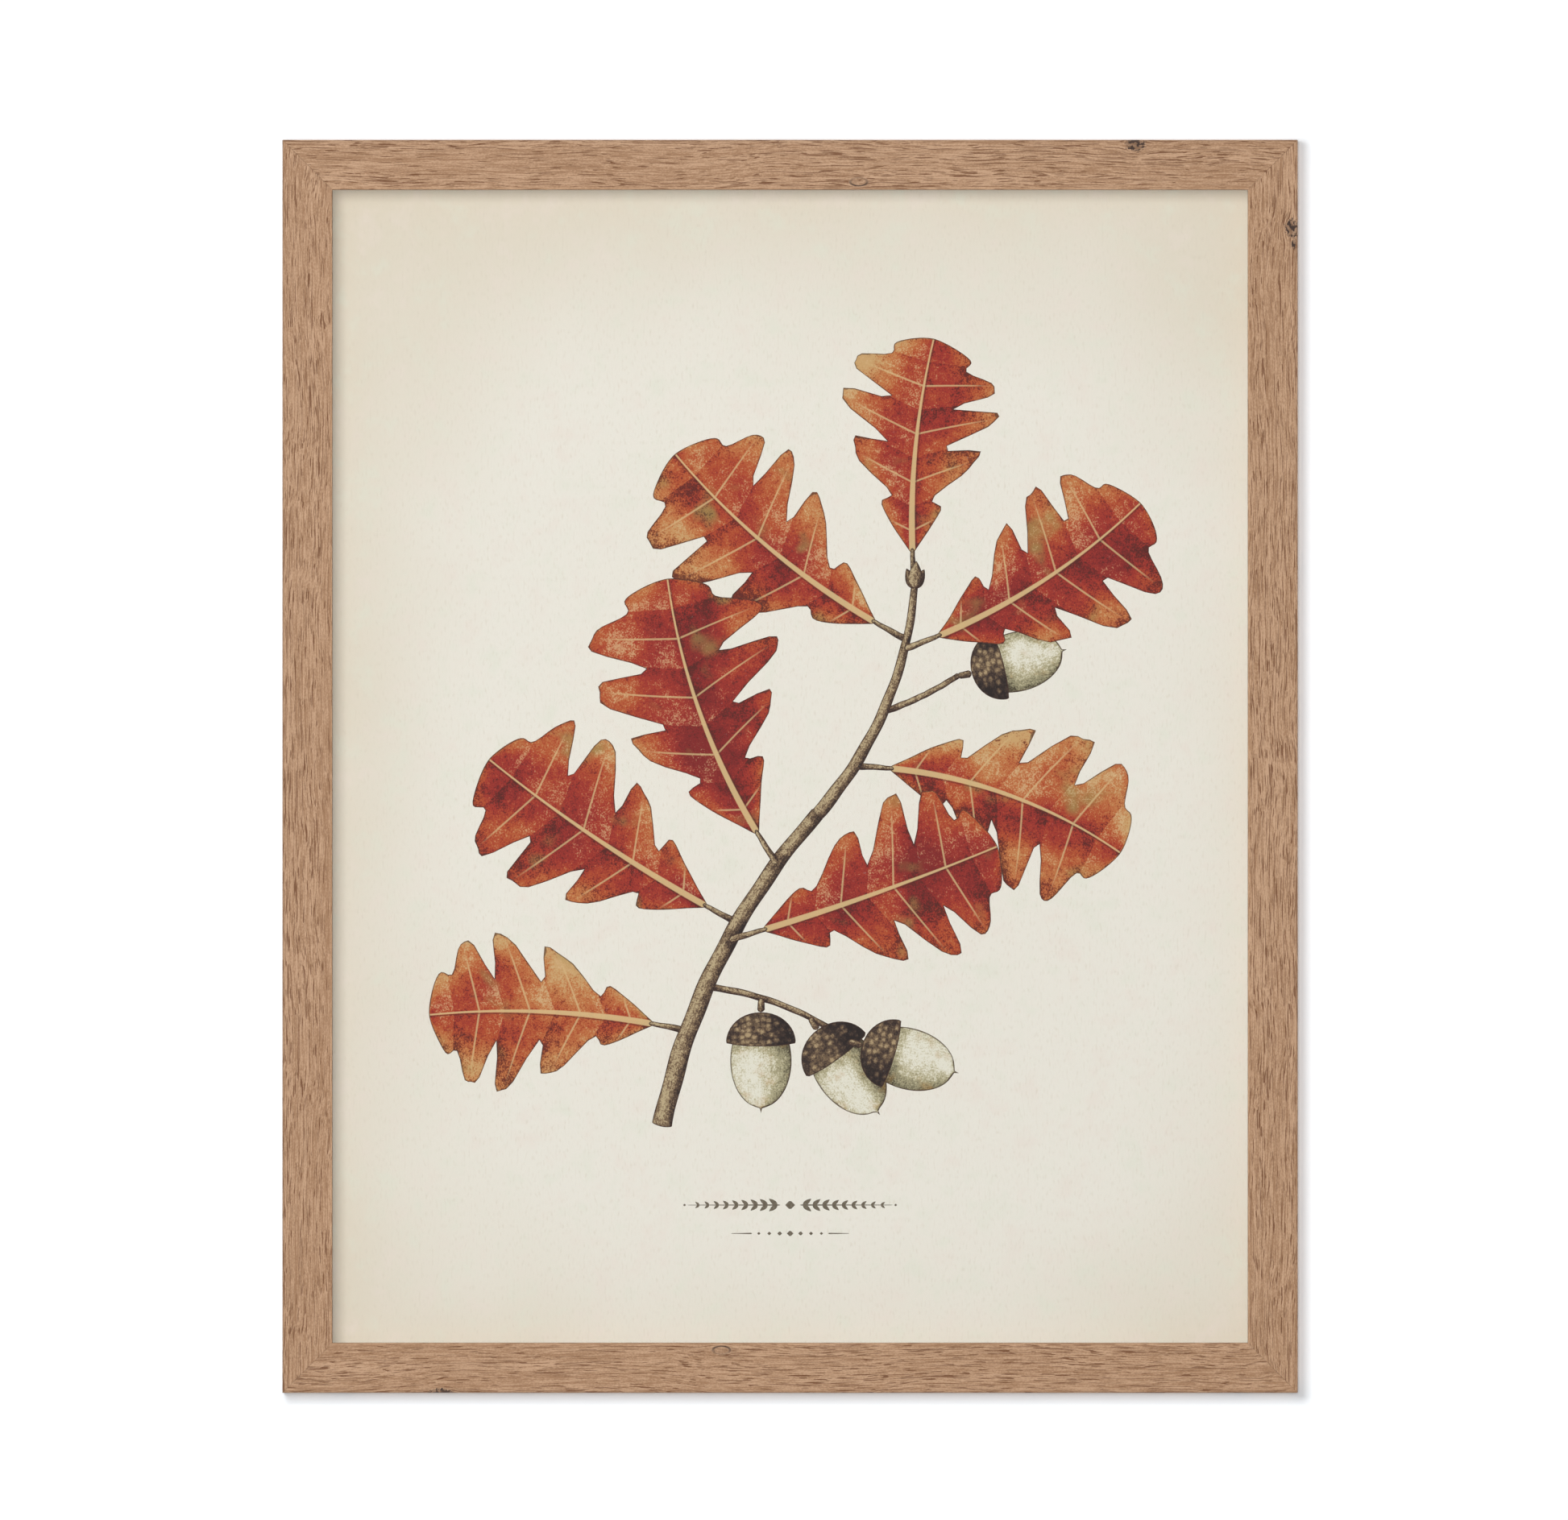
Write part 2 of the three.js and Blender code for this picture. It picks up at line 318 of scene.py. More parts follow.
class OakFigure(Effect):
    """Open-grained oak: bands, streaks, fibres and pores that run along the stick."""

    title = "oak figure"
    takes = {
        "Grain": ORIGIN,
        "Pale": srgb(204, 166, 134),
        "Dark": srgb(164, 125, 93),
        "Pore": srgb(108, 65, 40),
        "Pore Share": 0.5,
    }
    gives = {"Color": COLOUR, "Height": FLOAT, "Pores": FLOAT}
    LONG_PORE: ClassVar[Triple] = (27.0, 0.46, 0.6)
    SHORT_PORE: ClassVar[Triple] = (8.5, 0.5, 0.65)

    @classmethod
    def wire(cls, graph: Graph, given: Signals) -> Signals:
        """Wires bands, fibres and two sizes of pore over one gently waving grain."""
        grain = given["Grain"]
        along, across, deep = graph.split(grain)
        wave = graph.noise(grain, (80.0, 30.0, 30.0), 1.0)
        ripple = graph.noise(grain, (24.0, 9.0, 9.0), 1.0)
        drift = wave * 8.0 + ripple * 1.9
        lines = graph.join(along, across + drift, deep + drift)

        bands = graph.noise(lines, (260.0, 5.5, 9.0))
        streaks = graph.noise(lines, (48.0, 0.8, 1.1), 2.0, 0.7)
        fibres = graph.noise(lines, (11.0, 0.4, 0.5), 1.0, 0.7)
        flecks = graph.noise(lines, (0.95, 0.5, 0.5), 1.0, 0.7)
        tone = bands * 0.5 + streaks * 0.72 + fibres + flecks * 0.68
        wood = graph.blend(tone.spread(1.185, 1.745), given["Dark"], given["Pale"])

        rings = bands.spread(0.35, 0.65, -0.025, 0.045)
        start = 0.705 - given["Pore Share"] * 0.1
        levels = [graph.noise(lines, size, 1.0, 0.35) for size in (cls.LONG_PORE, cls.SHORT_PORE)]
        long, short = ((level + rings - start).spread(-0.008, 0.035) for level in levels)
        pores = graph.math("MAXIMUM", long * 0.6, short)
        wood = graph.blend(pores * 0.76, wood, given["Pore"])
        return {"Color": wood, "Height": pores * -0.16 + fibres * 0.05, "Pores": pores}


class Knot(Effect):
    """A knot: the grain parts around it, and its core is a ragged dark swirl or a thin ring."""

    title = "knot"
    takes = {"Grain": ORIGIN, "Centre": ORIGIN, "Reach": (6.0, 2.5, 4.0), "Hollow": 0.0}
    gives = {"Grain": VECTOR, "Core": FLOAT, "Plain": FLOAT}

    @classmethod
    def wire(cls, graph: Graph, given: Signals) -> Signals:
        """Wires the parted grain, the core with its broken rings, and the ring of a hollow one."""
        grain, hollow = given["Grain"], given["Hollow"]
        away = graph.vector("SUBTRACT", grain, given["Centre"])
        shares = graph.vector("DIVIDE", away, given["Reach"])
        far = graph.vector("LENGTH", shares, output="Value")
        pull = far.spread(2.4, 0.2, 0.0, 0.75)
        pulled = graph.vector("MULTIPLY", away, graph.join(0.0, pull, pull))

        ring_at = (graph.noise(grain, (1.6, 1.1, 1.1), 3.0, 0.75) - 0.5) * 2.4 + far
        swirl = graph.math("SINE", ring_at * 8.0)
        around = swirl.spread(0.3, 0.9) * ring_at.spread(2.0, 1.0, 0.0, 0.5)
        holes = graph.noise(grain, (1.9, 1.4, 1.4), 1.0).spread(0.44, 0.54, 0.38, 1.0)
        dark = graph.math("MAXIMUM", ring_at.spread(1.15, 0.95) * holes, around)
        lower = graph.split(shares)[1].spread(-1.0, 1.0, 0.35, 1.0)
        ring = abs(far - 1.0).spread(0.25, 0.06) * lower
        core = graph.math("ADD", ring * hollow, dark * (1.0 - hollow), clamp=True)
        parted = graph.vector("SUBTRACT", grain, pulled)
        return {"Grain": parted, "Core": core, "Plain": far.spread(1.3, 1.0)}


class PaperStock(Effect):
    """Aged cream paper: a paler middle, warm edges, faint mottling and fibres. The darker edges and
    corners are partly ageing and partly painted shade, most at the top left.
    """

    title = "paper stock"
    takes = {
        "Place": ORIGIN,
        "Middle": srgb(238, 233, 222),
        "Edge": srgb(224, 213, 193),
        "Fibre": srgb(214, 203, 184),
    }
    gives = {"Color": COLOUR, "Height": FLOAT}
    PALEST: ClassVar[Triple] = (12.0, 0.0, -18.0)  # off the sheet's middle, towards the lower right, so that the painted shade falls at the top left
    HALF_WIDTH: ClassVar[float] = 193.0
    HALF_HEIGHT: ClassVar[float] = 243.0
    SQUARENESS: ClassVar[float] = 4.0  # 2 would make the pale middle an ellipse; 4 darkens the corners more, partly as painted shade

    @classmethod
    def wire(cls, graph: Graph, given: Signals) -> Signals:
        """Wires the ageing and painted shade from the edges in, then the mottling and the fibres."""
        place = given["Place"]
        x, _, z = graph.split(graph.vector("SUBTRACT", place, cls.PALEST))
        across, up = abs(x / cls.HALF_WIDTH) ** cls.SQUARENESS, abs(z / cls.HALF_HEIGHT) ** cls.SQUARENESS
        rim = (across + up) ** (1 / cls.SQUARENESS)
        # Darker towards the edges and corners: partly ageing, partly painted shade.
        aged_and_shaded = (graph.noise(place, 70.0, 1.0) * 0.24 + rim).spread(0.8, 1.4)
        paper = graph.blend(aged_and_shaded, given["Middle"], given["Edge"])
        mottle = graph.noise(place, 11.0, 2.0, 0.6)
        paper = graph.blend(mottle.spread(0.5, 0.8, 0.0, 0.42), paper, srgb(236, 223, 212))
        paper = graph.blend(mottle.spread(0.5, 0.2, 0.0, 0.42), paper, srgb(227, 229, 212))
        fibres = graph.noise(place, (0.9, 1.0, 2.6), 1.0, 0.65)
        paper = graph.blend(fibres.spread(0.52, 0.82, 0.0, 0.4), paper, given["Fibre"])
        return {"Color": paper, "Height": fibres}


class Stipple(Effect):
    """The grain of a lithographer's crayon, which breaks a tone into fine specks."""

    title = "crayon stipple"
    takes = {"Place": ORIGIN, "Tone": 0.5, "Depth": 0.35}
    gives = {"Tone": FLOAT}

    @classmethod
    def wire(cls, graph: Graph, given: Signals) -> Signals:
        """Wires fine specks and a coarser drag of the crayon on to the tone."""
        specks = graph.noise(given["Place"], 0.62, 1.0, 0.6)
        drag = graph.noise(given["Place"], 2.4, 2.0, 0.6)
        swing = (drag * 0.6 + specks - 0.8) * given["Depth"]
        return {"Tone": swing * 1.6 + given["Tone"]}


class Brushing(Effect):
    """Fine drawn lines and dull spots on sheet metal."""

    title = "brushing"
    takes = {"Place": ORIGIN, "Lines": (6.0, 0.15, 0.15), "Dullness": 0.3}
    gives = {"Tone": FLOAT, "Roughness": FLOAT, "Height": FLOAT}

    @classmethod
    def wire(cls, graph: Graph, given: Signals) -> Signals:
        """Wires drawn lines and cloudy dull spots."""
        lines = graph.noise(given["Place"], given["Lines"], 2.0, 0.6)
        spots = graph.noise(given["Place"], 2.2, 3.0, 0.6)
        dull = spots * 0.25 + given["Dullness"]
        rough = graph.math("MULTIPLY_ADD", lines, 0.12, dull, clamp=True)
        return {"Tone": lines * 0.5 + spots * 0.5, "Roughness": rough, "Height": lines}


# ---- Finishes ----


@dataclass(frozen=True)
class Finish(ABC):
    """A material that is wired once and shared by the pieces that are dressed in it.

    Attributes:
        name: The material's name.
    """

    name: str

    @abstractmethod
    def wire(self, graph: Graph) -> Signal:
        """Wires the finish in the material's graph and gives its surface shader."""

    def material(self) -> bpy.types.Material:
        """The material, made the first time it is asked for."""
        made = bpy.data.materials.get(self.name)
        if made:
            return made
        made = bpy.data.materials.new(self.name)
        made.use_nodes = True
        made.node_tree.nodes.clear()
        graph = Graph(made.node_tree)
        graph.node("ShaderNodeOutputMaterial", {"Surface": self.wire(graph)})
        return made

    @staticmethod
    def principled(graph: Graph, **feeds: Value) -> Signal:
        """A Principled BSDF with inputs by name, with an underscore for each space."""
        named = {name.replace("_", " "): value for name, value in feeds.items()}
        return graph.signal("ShaderNodeBsdfPrincipled", named)


@dataclass(frozen=True)
class KnotPlace:
    """Where a knot sits in a stick.

    Attributes:
        centre: Along the stick, in from its outer edge and back from its face.
        reach: Half its size along each of those.
        hollow: 1 where only a thin ring of it shows, 0 where it is dark all through.
    """

    centre: Triple
    reach: Triple
    hollow: float = 0.0


@dataclass(frozen=True)
class Oak(Finish):
    """Oak with a matt clear finish, on one stick.

    Attributes:
        seed: Which plank the stick was cut from.
        knots: The knots that show.
        pore_share: How closely the pores stand.
    """

    seed: int
    knots: tuple[KnotPlace, ...] = ()
    pore_share: float = 0.5

    PLANK: ClassVar[Triple] = (1310.0, 83.0, 47.0)

    def wire(self, graph: Graph) -> Signal:
        """Wires the figure, the knots, painted shade on the outer arris, a painted highlight on the inner
        one and a dull sheen.
        """
        grain = graph.attribute("grain")
        core: Value = 0.0
        share: Value = self.pore_share
        for knot in self.knots:
            placed = Knot.place(
                graph, Grain=grain, Centre=knot.centre, Reach=knot.reach, Hollow=knot.hollow
            )
            grain = placed["Grain"]
            core = graph.math("MAXIMUM", core, placed["Core"])
            share = placed["Plain"] * -1.5 + share
        plank = tuple(part * self.seed for part in self.PLANK)
        figure = OakFigure.place(graph, Grain=graph.vector("ADD", grain, plank), Pore_Share=share)
        colour = graph.blend(core, figure["Color"], srgb(64, 47, 40))
        outer, sight, _ = graph.split(graph.attribute("arris_light"))
        # Painted shade: the outer arris is darkened as if it turned away from the light.
        colour = graph.blend(outer * 0.36, colour, srgb(122, 92, 68))
        # Painted highlight: the inner sight arris is lightened as if lit.
        colour = graph.blend(sight * 0.3, colour, srgb(224, 178, 140))
        rough = figure["Pores"].spread(0.0, 1.0, 0.56, 0.8)
        normal = graph.bump(figure["Height"], 0.75, 1.0)
        return self.principled(
            graph, Base_Color=colour, Roughness=rough, Normal=normal, Specular_IOR_Level=0.35
        )


# ---- Meshes ----


def linked(name: str, data: bpy.types.ID) -> bpy.types.Object:
    """An object for a mesh, light or camera, in the scene."""
    made = bpy.data.objects.new(name, data)
    bpy.context.scene.collection.objects.link(made)
    return made


def mesh_object(name: str, points: np.ndarray, faces: Iterable[Sequence[int]]) -> bpy.types.Object:
    """An object from points in millimetres and the numbers of each face's points."""
    mesh = bpy.data.meshes.new(name)
    mesh.from_pydata((np.asarray(points, float) * MM).tolist(), [], [list(face) for face in faces])
    mesh.update()
    return linked(name, mesh)


def shape_object(name: str, shape: bmesh.types.BMesh) -> bpy.types.Object:
    """An object from a shape, which is used up."""
    mesh = bpy.data.meshes.new(name)
    shape.to_mesh(mesh)
    shape.free()
    return linked(name, mesh)


def vector_attribute(mesh: bpy.types.Mesh, name: str, domain: str, values: np.ndarray) -> None:
    """Stores a vector for each point or corner of a mesh."""
    stored = mesh.attributes.new(name, "FLOAT_VECTOR", domain)
    stored.data.foreach_set("vector", np.ascontiguousarray(values, np.float32).ravel())


def dress(piece: bpy.types.Object, slot: str, node: str, *finishes: Finish) -> None:
    """Gives a piece its materials and its place in the frame.

    Args:
        piece: The object.
        slot: The record's material slot; not used.
        node: The solid that it stands for.
        finishes: Its materials in slot order.
    """
    piece.data.materials.clear()  # the slot cut leaves an empty slot
    for finish in finishes:
        piece.data.materials.append(finish.material())
    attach(piece, BODY)
    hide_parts(node)


def smooth(piece: bpy.types.Object, sharp: float) -> None:
    """Shades a piece smooth, but for edges that turn by more than an angle in degrees."""
    piece.data.shade_smooth()
    piece.data.set_sharp_from_angle(angle=math.radians(sharp))


def solid_shape(node: str) -> bmesh.types.BMesh:
    """A solid's own shape, with its flat faces whole."""
    shape = bmesh.new()
    shape.from_mesh(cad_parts[node].data)
    bmesh.ops.remove_doubles(shape, verts=shape.verts, dist=WELD)
    bmesh.ops.dissolve_limit(shape, angle_limit=FLAT, verts=shape.verts, edges=shape.edges)
    shape.normal_update()
    return shape


def eased(node: str, name: str, arris: float) -> bpy.types.Object:
    """A solid's shape as a piece, with its sharp edges eased to a width in millimetres."""
    shape = solid_shape(node)
    sharp = [edge for edge in shape.edges if edge.calc_face_angle(0) > SHARP]
    bmesh.ops.bevel(shape, geom=sharp, offset=arris * MM, segments=1, affect="EDGES")
    return shape_object(name, shape)


def slab(node: str, name: str, arris: float) -> bpy.types.Object:
    """A plate as large as a solid, with its edges eased to a width in millimetres."""
    low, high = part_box(node)
    shape = bmesh.new()
    bmesh.ops.create_cube(shape, size=1.0, matrix=Matrix.LocRotScale((high + low) / 2, None, high - low))
    bmesh.ops.bevel(shape, geom=shape.edges[:], offset=arris * MM, segments=2, affect="EDGES")
    return shape_object(name, shape)


def turned(
    name: str, node: str, profile: Sequence[tuple[float, float]], around: int
) -> bpy.types.Object:
    """A round piece about a line that runs towards the wall through the middle of a solid.

    Args:
        name: The piece's name.
        node: The solid.
        profile: Radius and place along the line, from the front to the back, both ends at 0.
        around: How many sides it has.

    Returns:
        The piece, with smooth sides.
    """
    low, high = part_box(node)
    centre = (low + high) / 2 / MM
    points = [(centre.x, profile[0][1], centre.z)]
    for radius, y in profile[1:-1]:
        for i in range(around):
            turn = 2 * math.pi * i / around
            points.append((centre.x + radius * math.cos(turn), y, centre.z + radius * math.sin(turn)))
    points.append((centre.x, profile[-1][1], centre.z))
    last, rings = len(points) - 1, len(profile) - 2
    faces: list[Sequence[int]] = []
    for i in range(around):
        j = (i + 1) % around
        faces.append((0, 1 + i, 1 + j))
        for a in range(1, 1 + (rings - 1) * around, around):
            faces.append((a + i, a + around + i, a + around + j, a + j))
        end = last - around
        faces.append((end + j, end + i, last))
    made = mesh_object(name, np.array(points), faces)
    smooth(made, sharp=40)
    return made


def stretch(start: Sequence[float], end: Sequence[float], step: float) -> list[tuple[float, ...]]:
    """Points about a step apart from start up to, but not including, end."""
    count = max(1, round(math.dist(start, end) / step))
    return [tuple(a + (b - a) * (i / count) for a, b in zip(start, end)) for i in range(count)]


def quarter(
    centre: Sequence[float], radius: float, start: float, steps: int = 5
) -> list[tuple[float, ...]]:
    """Points of a quarter turn about a centre from an angle in degrees, without its end."""
    turns = [math.radians(start + 90 * i / steps) for i in range(steps)]
    return [(centre[0] + radius * math.cos(t), centre[1] + radius * math.sin(t)) for t in turns]


class SubAssembly(ABC):
    """A part of the framed print that is built and dressed as a whole."""

    @abstractmethod
    def build(self) -> list[bpy.types.Object]:
        """Builds and dresses its pieces where their solids are, and gives them."""


# ---- The frame ----


@dataclass
class Stick:
    """One mitred side of the oak frame.

    Attributes:
        node: The solid that it stands for.
        centre: The middle of its outer front edge.
        along: The way its length runs.
        inward: From its outer edge towards the picture.
        length: Its outer length.
        finish: Its oak.
        face: The width of its face.
        depth: How far it goes back from its face.
        lip_depth: The depth of the lip over the glass.
        land: Its width behind the lip.
        outer_round: The radius of its outer front edge.
        sight_round: The radius of its inner front edge.
        glue_line: The gap at a mitre, measured along the stick.
        station: The distance from one section to the next.
        relief: How deep the open grain goes.
        relief_grain: The size of a sunk patch along, across and into the stick.
        relief_shift: How far one plank's relief is from the next one's.
        flush_end: The length over which the relief rises from a mitre.
    """

    node: str
    centre: Vector
    along: Vector
    inward: Vector
    length: float
    finish: Oak

    face: float = 21.0
    depth: float = 22.0
    lip_depth: float = 7.0
    land: float = 13.0
    outer_round: float = 0.4
    sight_round: float = 0.4
    glue_line: float = 0.09
    station: float = 1.5
    relief: float = 0.07
    relief_grain: Triple = (26.0, 1.7, 2.3)
    relief_shift: float = 31.7
    flush_end: float = 4.0

    BACK: ClassVar[Vector] = Vector((0, 1, 0))
    ARRIS_PAINT_REACH: ClassVar[int] = 3  # the width of the painted arris shade and highlight, in radii of its rounding

    def section(self) -> np.ndarray:
        """The moulding's section, as points in from the outer edge and back from the face."""
        outer, sight, face, lip = self.outer_round, self.sight_round, self.face, self.lip_depth
        points = (  # each stretch ends with its step, finer where the grain shows more
            stretch((0, self.depth), (0, outer), 0.8)
            + quarter((outer, outer), outer, 180)
            + stretch((outer, 0), (face - sight, 0), 0.55)
            + quarter((face - sight, sight), sight, 270)
            + stretch((face, sight), (face, lip), 0.9)
            + stretch((face, lip), (self.land, lip), 2.5)
            + stretch((self.land, lip), (self.land, self.depth), 2.5)
            + stretch((self.land, self.depth), (0, self.depth), 1.2)
        )
        return np.array(points)

    def build(self, driven: bpy.types.Object) -> bpy.types.Object:
        """Sweeps the section between the mitres, sinks its open grain and cuts its slots.

        Args:
            driven: The room that the metal in the frame takes.

        Returns:
            The dressed stick.
        """
        section = self.section()
        around = len(section)
        half = self.length / 2 - section[:, 0] - self.glue_line / 2
        shares = np.linspace(-1, 1, max(2, round(self.length / self.station)) + 1)
        local = np.empty((len(shares), around, 3))
        local[..., 0] = shares[:, None] * half
        local[..., 1:] = section

        run = np.roll(section, -1, 0) - np.roll(section, 1, 0)
        inside = np.stack([-run[:, 1], run[:, 0]], 1) / np.linalg.norm(run, axis=1)[:, None]
        rise = np.clip((1 - np.abs(shares)) * self.length / 2 / self.flush_end, 0, 1)
        sunk = self.sink(local) * rise[:, None]
        local[..., 1:] += inside * sunk[..., None]

        last = (len(shares) - 1) * around
        faces: list[Sequence[int]] = []
        for a in range(0, last, around):
            b, ends = a + around, [(j, (j + 1) % around) for j in range(around)]
            faces += [(a + j, a + k, b + k, b + j) for j, k in ends]
        faces += [range(around)[::-1], range(last, last + around)]
        piece = mesh_object(f"oak_{self.node}", self.to_world(local.reshape(-1, 3)), faces)
        self.cut_slots(piece, driven)
        self.mark_grain(piece.data)
        smooth(piece, sharp=35)
        dress(piece, "oak", self.node, self.finish)
        return piece

    def sink(self, local: np.ndarray) -> np.ndarray:
        """How far the open grain is sunk at points in the stick's own frame."""
        places = local.reshape(-1, 3) / np.array(self.relief_grain) + self.finish.seed * self.relief_shift
        values = np.array([noise.noise(Vector(place)) for place in places.tolist()])
        return (np.clip(values, -1, 1) * 0.5 + 0.5).reshape(local.shape[:-1]) * self.relief

    def axes(self) -> np.ndarray:
        """The stick's own axes in the part's frame."""
        return np.array([self.along, self.inward, self.BACK])

    def to_world(self, local: np.ndarray) -> np.ndarray:
        """Points of the stick's own frame in the part's frame."""
        return local @ self.axes() + np.array(self.centre)

    def to_local(self, world: np.ndarray) -> np.ndarray:
        """Points of the part's frame in the stick's own frame."""
        return (world - np.array(self.centre)) @ self.axes().T

    @staticmethod
    def cut_slots(piece: bpy.types.Object, driven: bpy.types.Object) -> None:
        """Turns a stick's faces out, and cuts it where metal is driven into it."""
        shape = bmesh.new()
        shape.from_mesh(piece.data)
        bmesh.ops.recalc_face_normals(shape, faces=shape.faces)
        shape.to_mesh(piece.data)
        shape.free()
        cutter = piece.modifiers.new("slots", "BOOLEAN")
        cutter.operation, cutter.object, cutter.solver = "DIFFERENCE", driven, "MANIFOLD"
        cut = piece.evaluated_get(bpy.context.evaluated_depsgraph_get())
        whole, piece_mesh = piece.data, bpy.data.meshes.new_from_object(cut)
        piece.modifiers.clear()
        piece.data = piece_mesh
        bpy.data.meshes.remove(whole)
        piece_mesh.name = piece.name

    def mark_grain(self, mesh: bpy.types.Mesh) -> None:
        """Stores where each point lies in the plank, and how near it is to each front arris, for that
        arris's painted shade or highlight.
        """
        world = np.empty(len(mesh.vertices) * 3)
        mesh.vertices.foreach_get("co", world)
        local = self.to_local(world.reshape(-1, 3) / MM)
        vector_attribute(mesh, "grain", "POINT", local)
        far = [np.hypot(local[:, 1] - edge, local[:, 2]) for edge in (0, self.face)]
        arris_paint = [np.clip(1 - distance / (self.ARRIS_PAINT_REACH * self.outer_round), 0, 1) for distance in far]
        vector_attribute(mesh, "arris_light", "POINT", np.stack([*arris_paint, np.zeros(len(local))], 1))


@dataclass
class OakFrame(SubAssembly):
    """The four sticks.

    Attributes:
        slot_room: The room round the metal that is driven into them.
        slot_mouth: How near the frame's back a V-nail's points are at its slot's open end.
        slot_open: How far past the back the slot is cut.
        big_knot: Half the size of a dark knot along, across and into a stick.
        small_knot: Half the size of a ringed knot.
        ringed: How hollow a ringed knot is.
    """

    slot_room: float = 0.05
    slot_mouth: float = 1.0
    slot_open: float = 1.0
    big_knot: Triple = (3.6, 2.7, 6.0)
    small_knot: Triple = (3.6, 1.7, 3.0)
    ringed: float = 0.85

    def build(self) -> list[bpy.types.Object]:
        """Builds the four sticks, cut where metal is driven into them."""
        low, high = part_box("rail_top")
        left, right, front, top = low.x / MM, high.x / MM, low.y / MM, high.z / MM
        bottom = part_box("rail_bottom")[0].z / MM
        width, height = right - left, top - bottom
        middle_x, middle_z = (left + right) / 2, (top + bottom) / 2
        x, z = Vector((1, 0, 0)), Vector((0, 0, 1))
        knots_top = (
            KnotPlace((145.6, 2.0, 0.0), self.big_knot),
            KnotPlace((28.9, 17.7, 0.0), self.small_knot, self.ringed),
        )
        knots_bottom = (
            KnotPlace((147.3, 0.2, 0.0), (4.6, 1.5, 3.0)),
            KnotPlace((28.9, 18.0, 0.0), self.small_knot, self.ringed),
        )
        knots_right = (
            KnotPlace((-226.8, 2.4, 0.0), self.big_knot),
            KnotPlace((-220.0, 2.0, 0.0), (1.9, 0.8, 2.0)),
        )
        plans = (
            ("rail_top", (middle_x, top), x, -z, width, Oak("oak_top", 1, knots_top)),
            ("rail_bottom", (middle_x, bottom), -x, z, width, Oak("oak_bottom", 2, knots_bottom)),
            ("stile_right", (right, middle_z), -z, -x, height, Oak("oak_right", 3, knots_right)),
            ("stile_left", (left, middle_z), z, x, height, Oak("oak_left", 4)),
        )
        driven = self.driven_metal()
        sticks = []
        for node, (at_x, at_z), along, inward, length, finish in plans:
            stick = Stick(node, Vector((at_x, front, at_z)), along, inward, length, finish)
            sticks.append(stick.build(driven))
        bpy.data.objects.remove(driven)
        return sticks

    def driven_metal(self) -> bpy.types.Object:
        """The room that the points, V-nails and nails take in the wood."""
        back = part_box("rail_top")[1].y
        room = bmesh.new()
        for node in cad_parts:
            if not any(part in node for part in ("_tab_", "v_nail", "hanger_nail")):
                continue
            shape = solid_shape(node)
            places = [v.co + v.normal * v.calc_shell_factor() * self.slot_room * MM for v in shape.verts]
            for vert, place in zip(shape.verts, places):
                if "v_nail" in node and place.y > back - self.slot_mouth * MM:
                    place.y = back + self.slot_open * MM
                vert.co = place
            mesh = bpy.data.meshes.new(node)
            shape.to_mesh(mesh)
            shape.free()
            room.from_mesh(mesh)
            bpy.data.meshes.remove(mesh)
        return shape_object("driven_metal", room)


# ---- The print: inks ----


class InkedEdge(Effect):
    """The fine line round a drawn form, and the shade that a form above it casts."""

    title = "inked edge"
    takes = {"Place": ORIGIN, "Edge": 5.0, "Over": 20.0, "Line Width": 0.4}
    gives = {"Line": FLOAT, "Shade": FLOAT}

    @classmethod
    def wire(cls, graph: Graph, given: Signals) -> Signals:
        """Wires a line of uneven weight and a soft shade."""
        waver = graph.noise(given["Place"], 3.5)
        inside = given["Edge"] - given["Line Width"] * (waver * 1.8 + 0.1)
        return {"Line": inside.spread(0.16, -0.16), "Shade": given["Over"].spread(5.5, 0.0)}


class RoundForm(Effect):
    """The tone of a round drawn form, lit from one side, from 0 in shade to 1 in the light."""

    title = "round form"
    takes = {"Across": 0.0, "Light": -0.35, "Softness": 1.25}
    gives = {"Tone": FLOAT}

    @classmethod
    def wire(cls, graph: Graph, given: Signals) -> Signals:
        """Wires a tone that falls off from the lit line."""
        far = abs(given["Across"] - given["Light"]) / given["Softness"]
        return {"Tone": graph.math("SUBTRACT", 1.0, far**1.6, clamp=True)}


@dataclass(frozen=True)
class Paper(Finish):
    """The bare sheet around the print.

    Attributes:
        middle: Height of the sheet's middle, in millimetres.
    """

    middle: float

    def wire(self, graph: Graph) -> Signal:
        """Wires the stock with a dull, dry surface."""
        return self.surface(graph, 0.0, WHITE)

    def surface(self, graph: Graph, cover: Value, ink: Value) -> Signal:
        """The sheet's shader under a film of ink that hides some of the paper."""
        stock = PaperStock.place(graph, Place=self.place(graph))
        colour = graph.blend(cover, stock["Color"], ink)
        normal = graph.bump(stock["Height"], 0.35, 0.05)
        return self.principled(
            graph, Base_Color=colour, Roughness=0.9, Normal=normal, Specular_IOR_Level=0.15
        )

    def place(self, graph: Graph) -> Signal:
        """The place on the sheet from its middle, in millimetres."""
        return graph.vector("SUBTRACT", graph.place_mm(), (0.0, 0.0, self.middle))


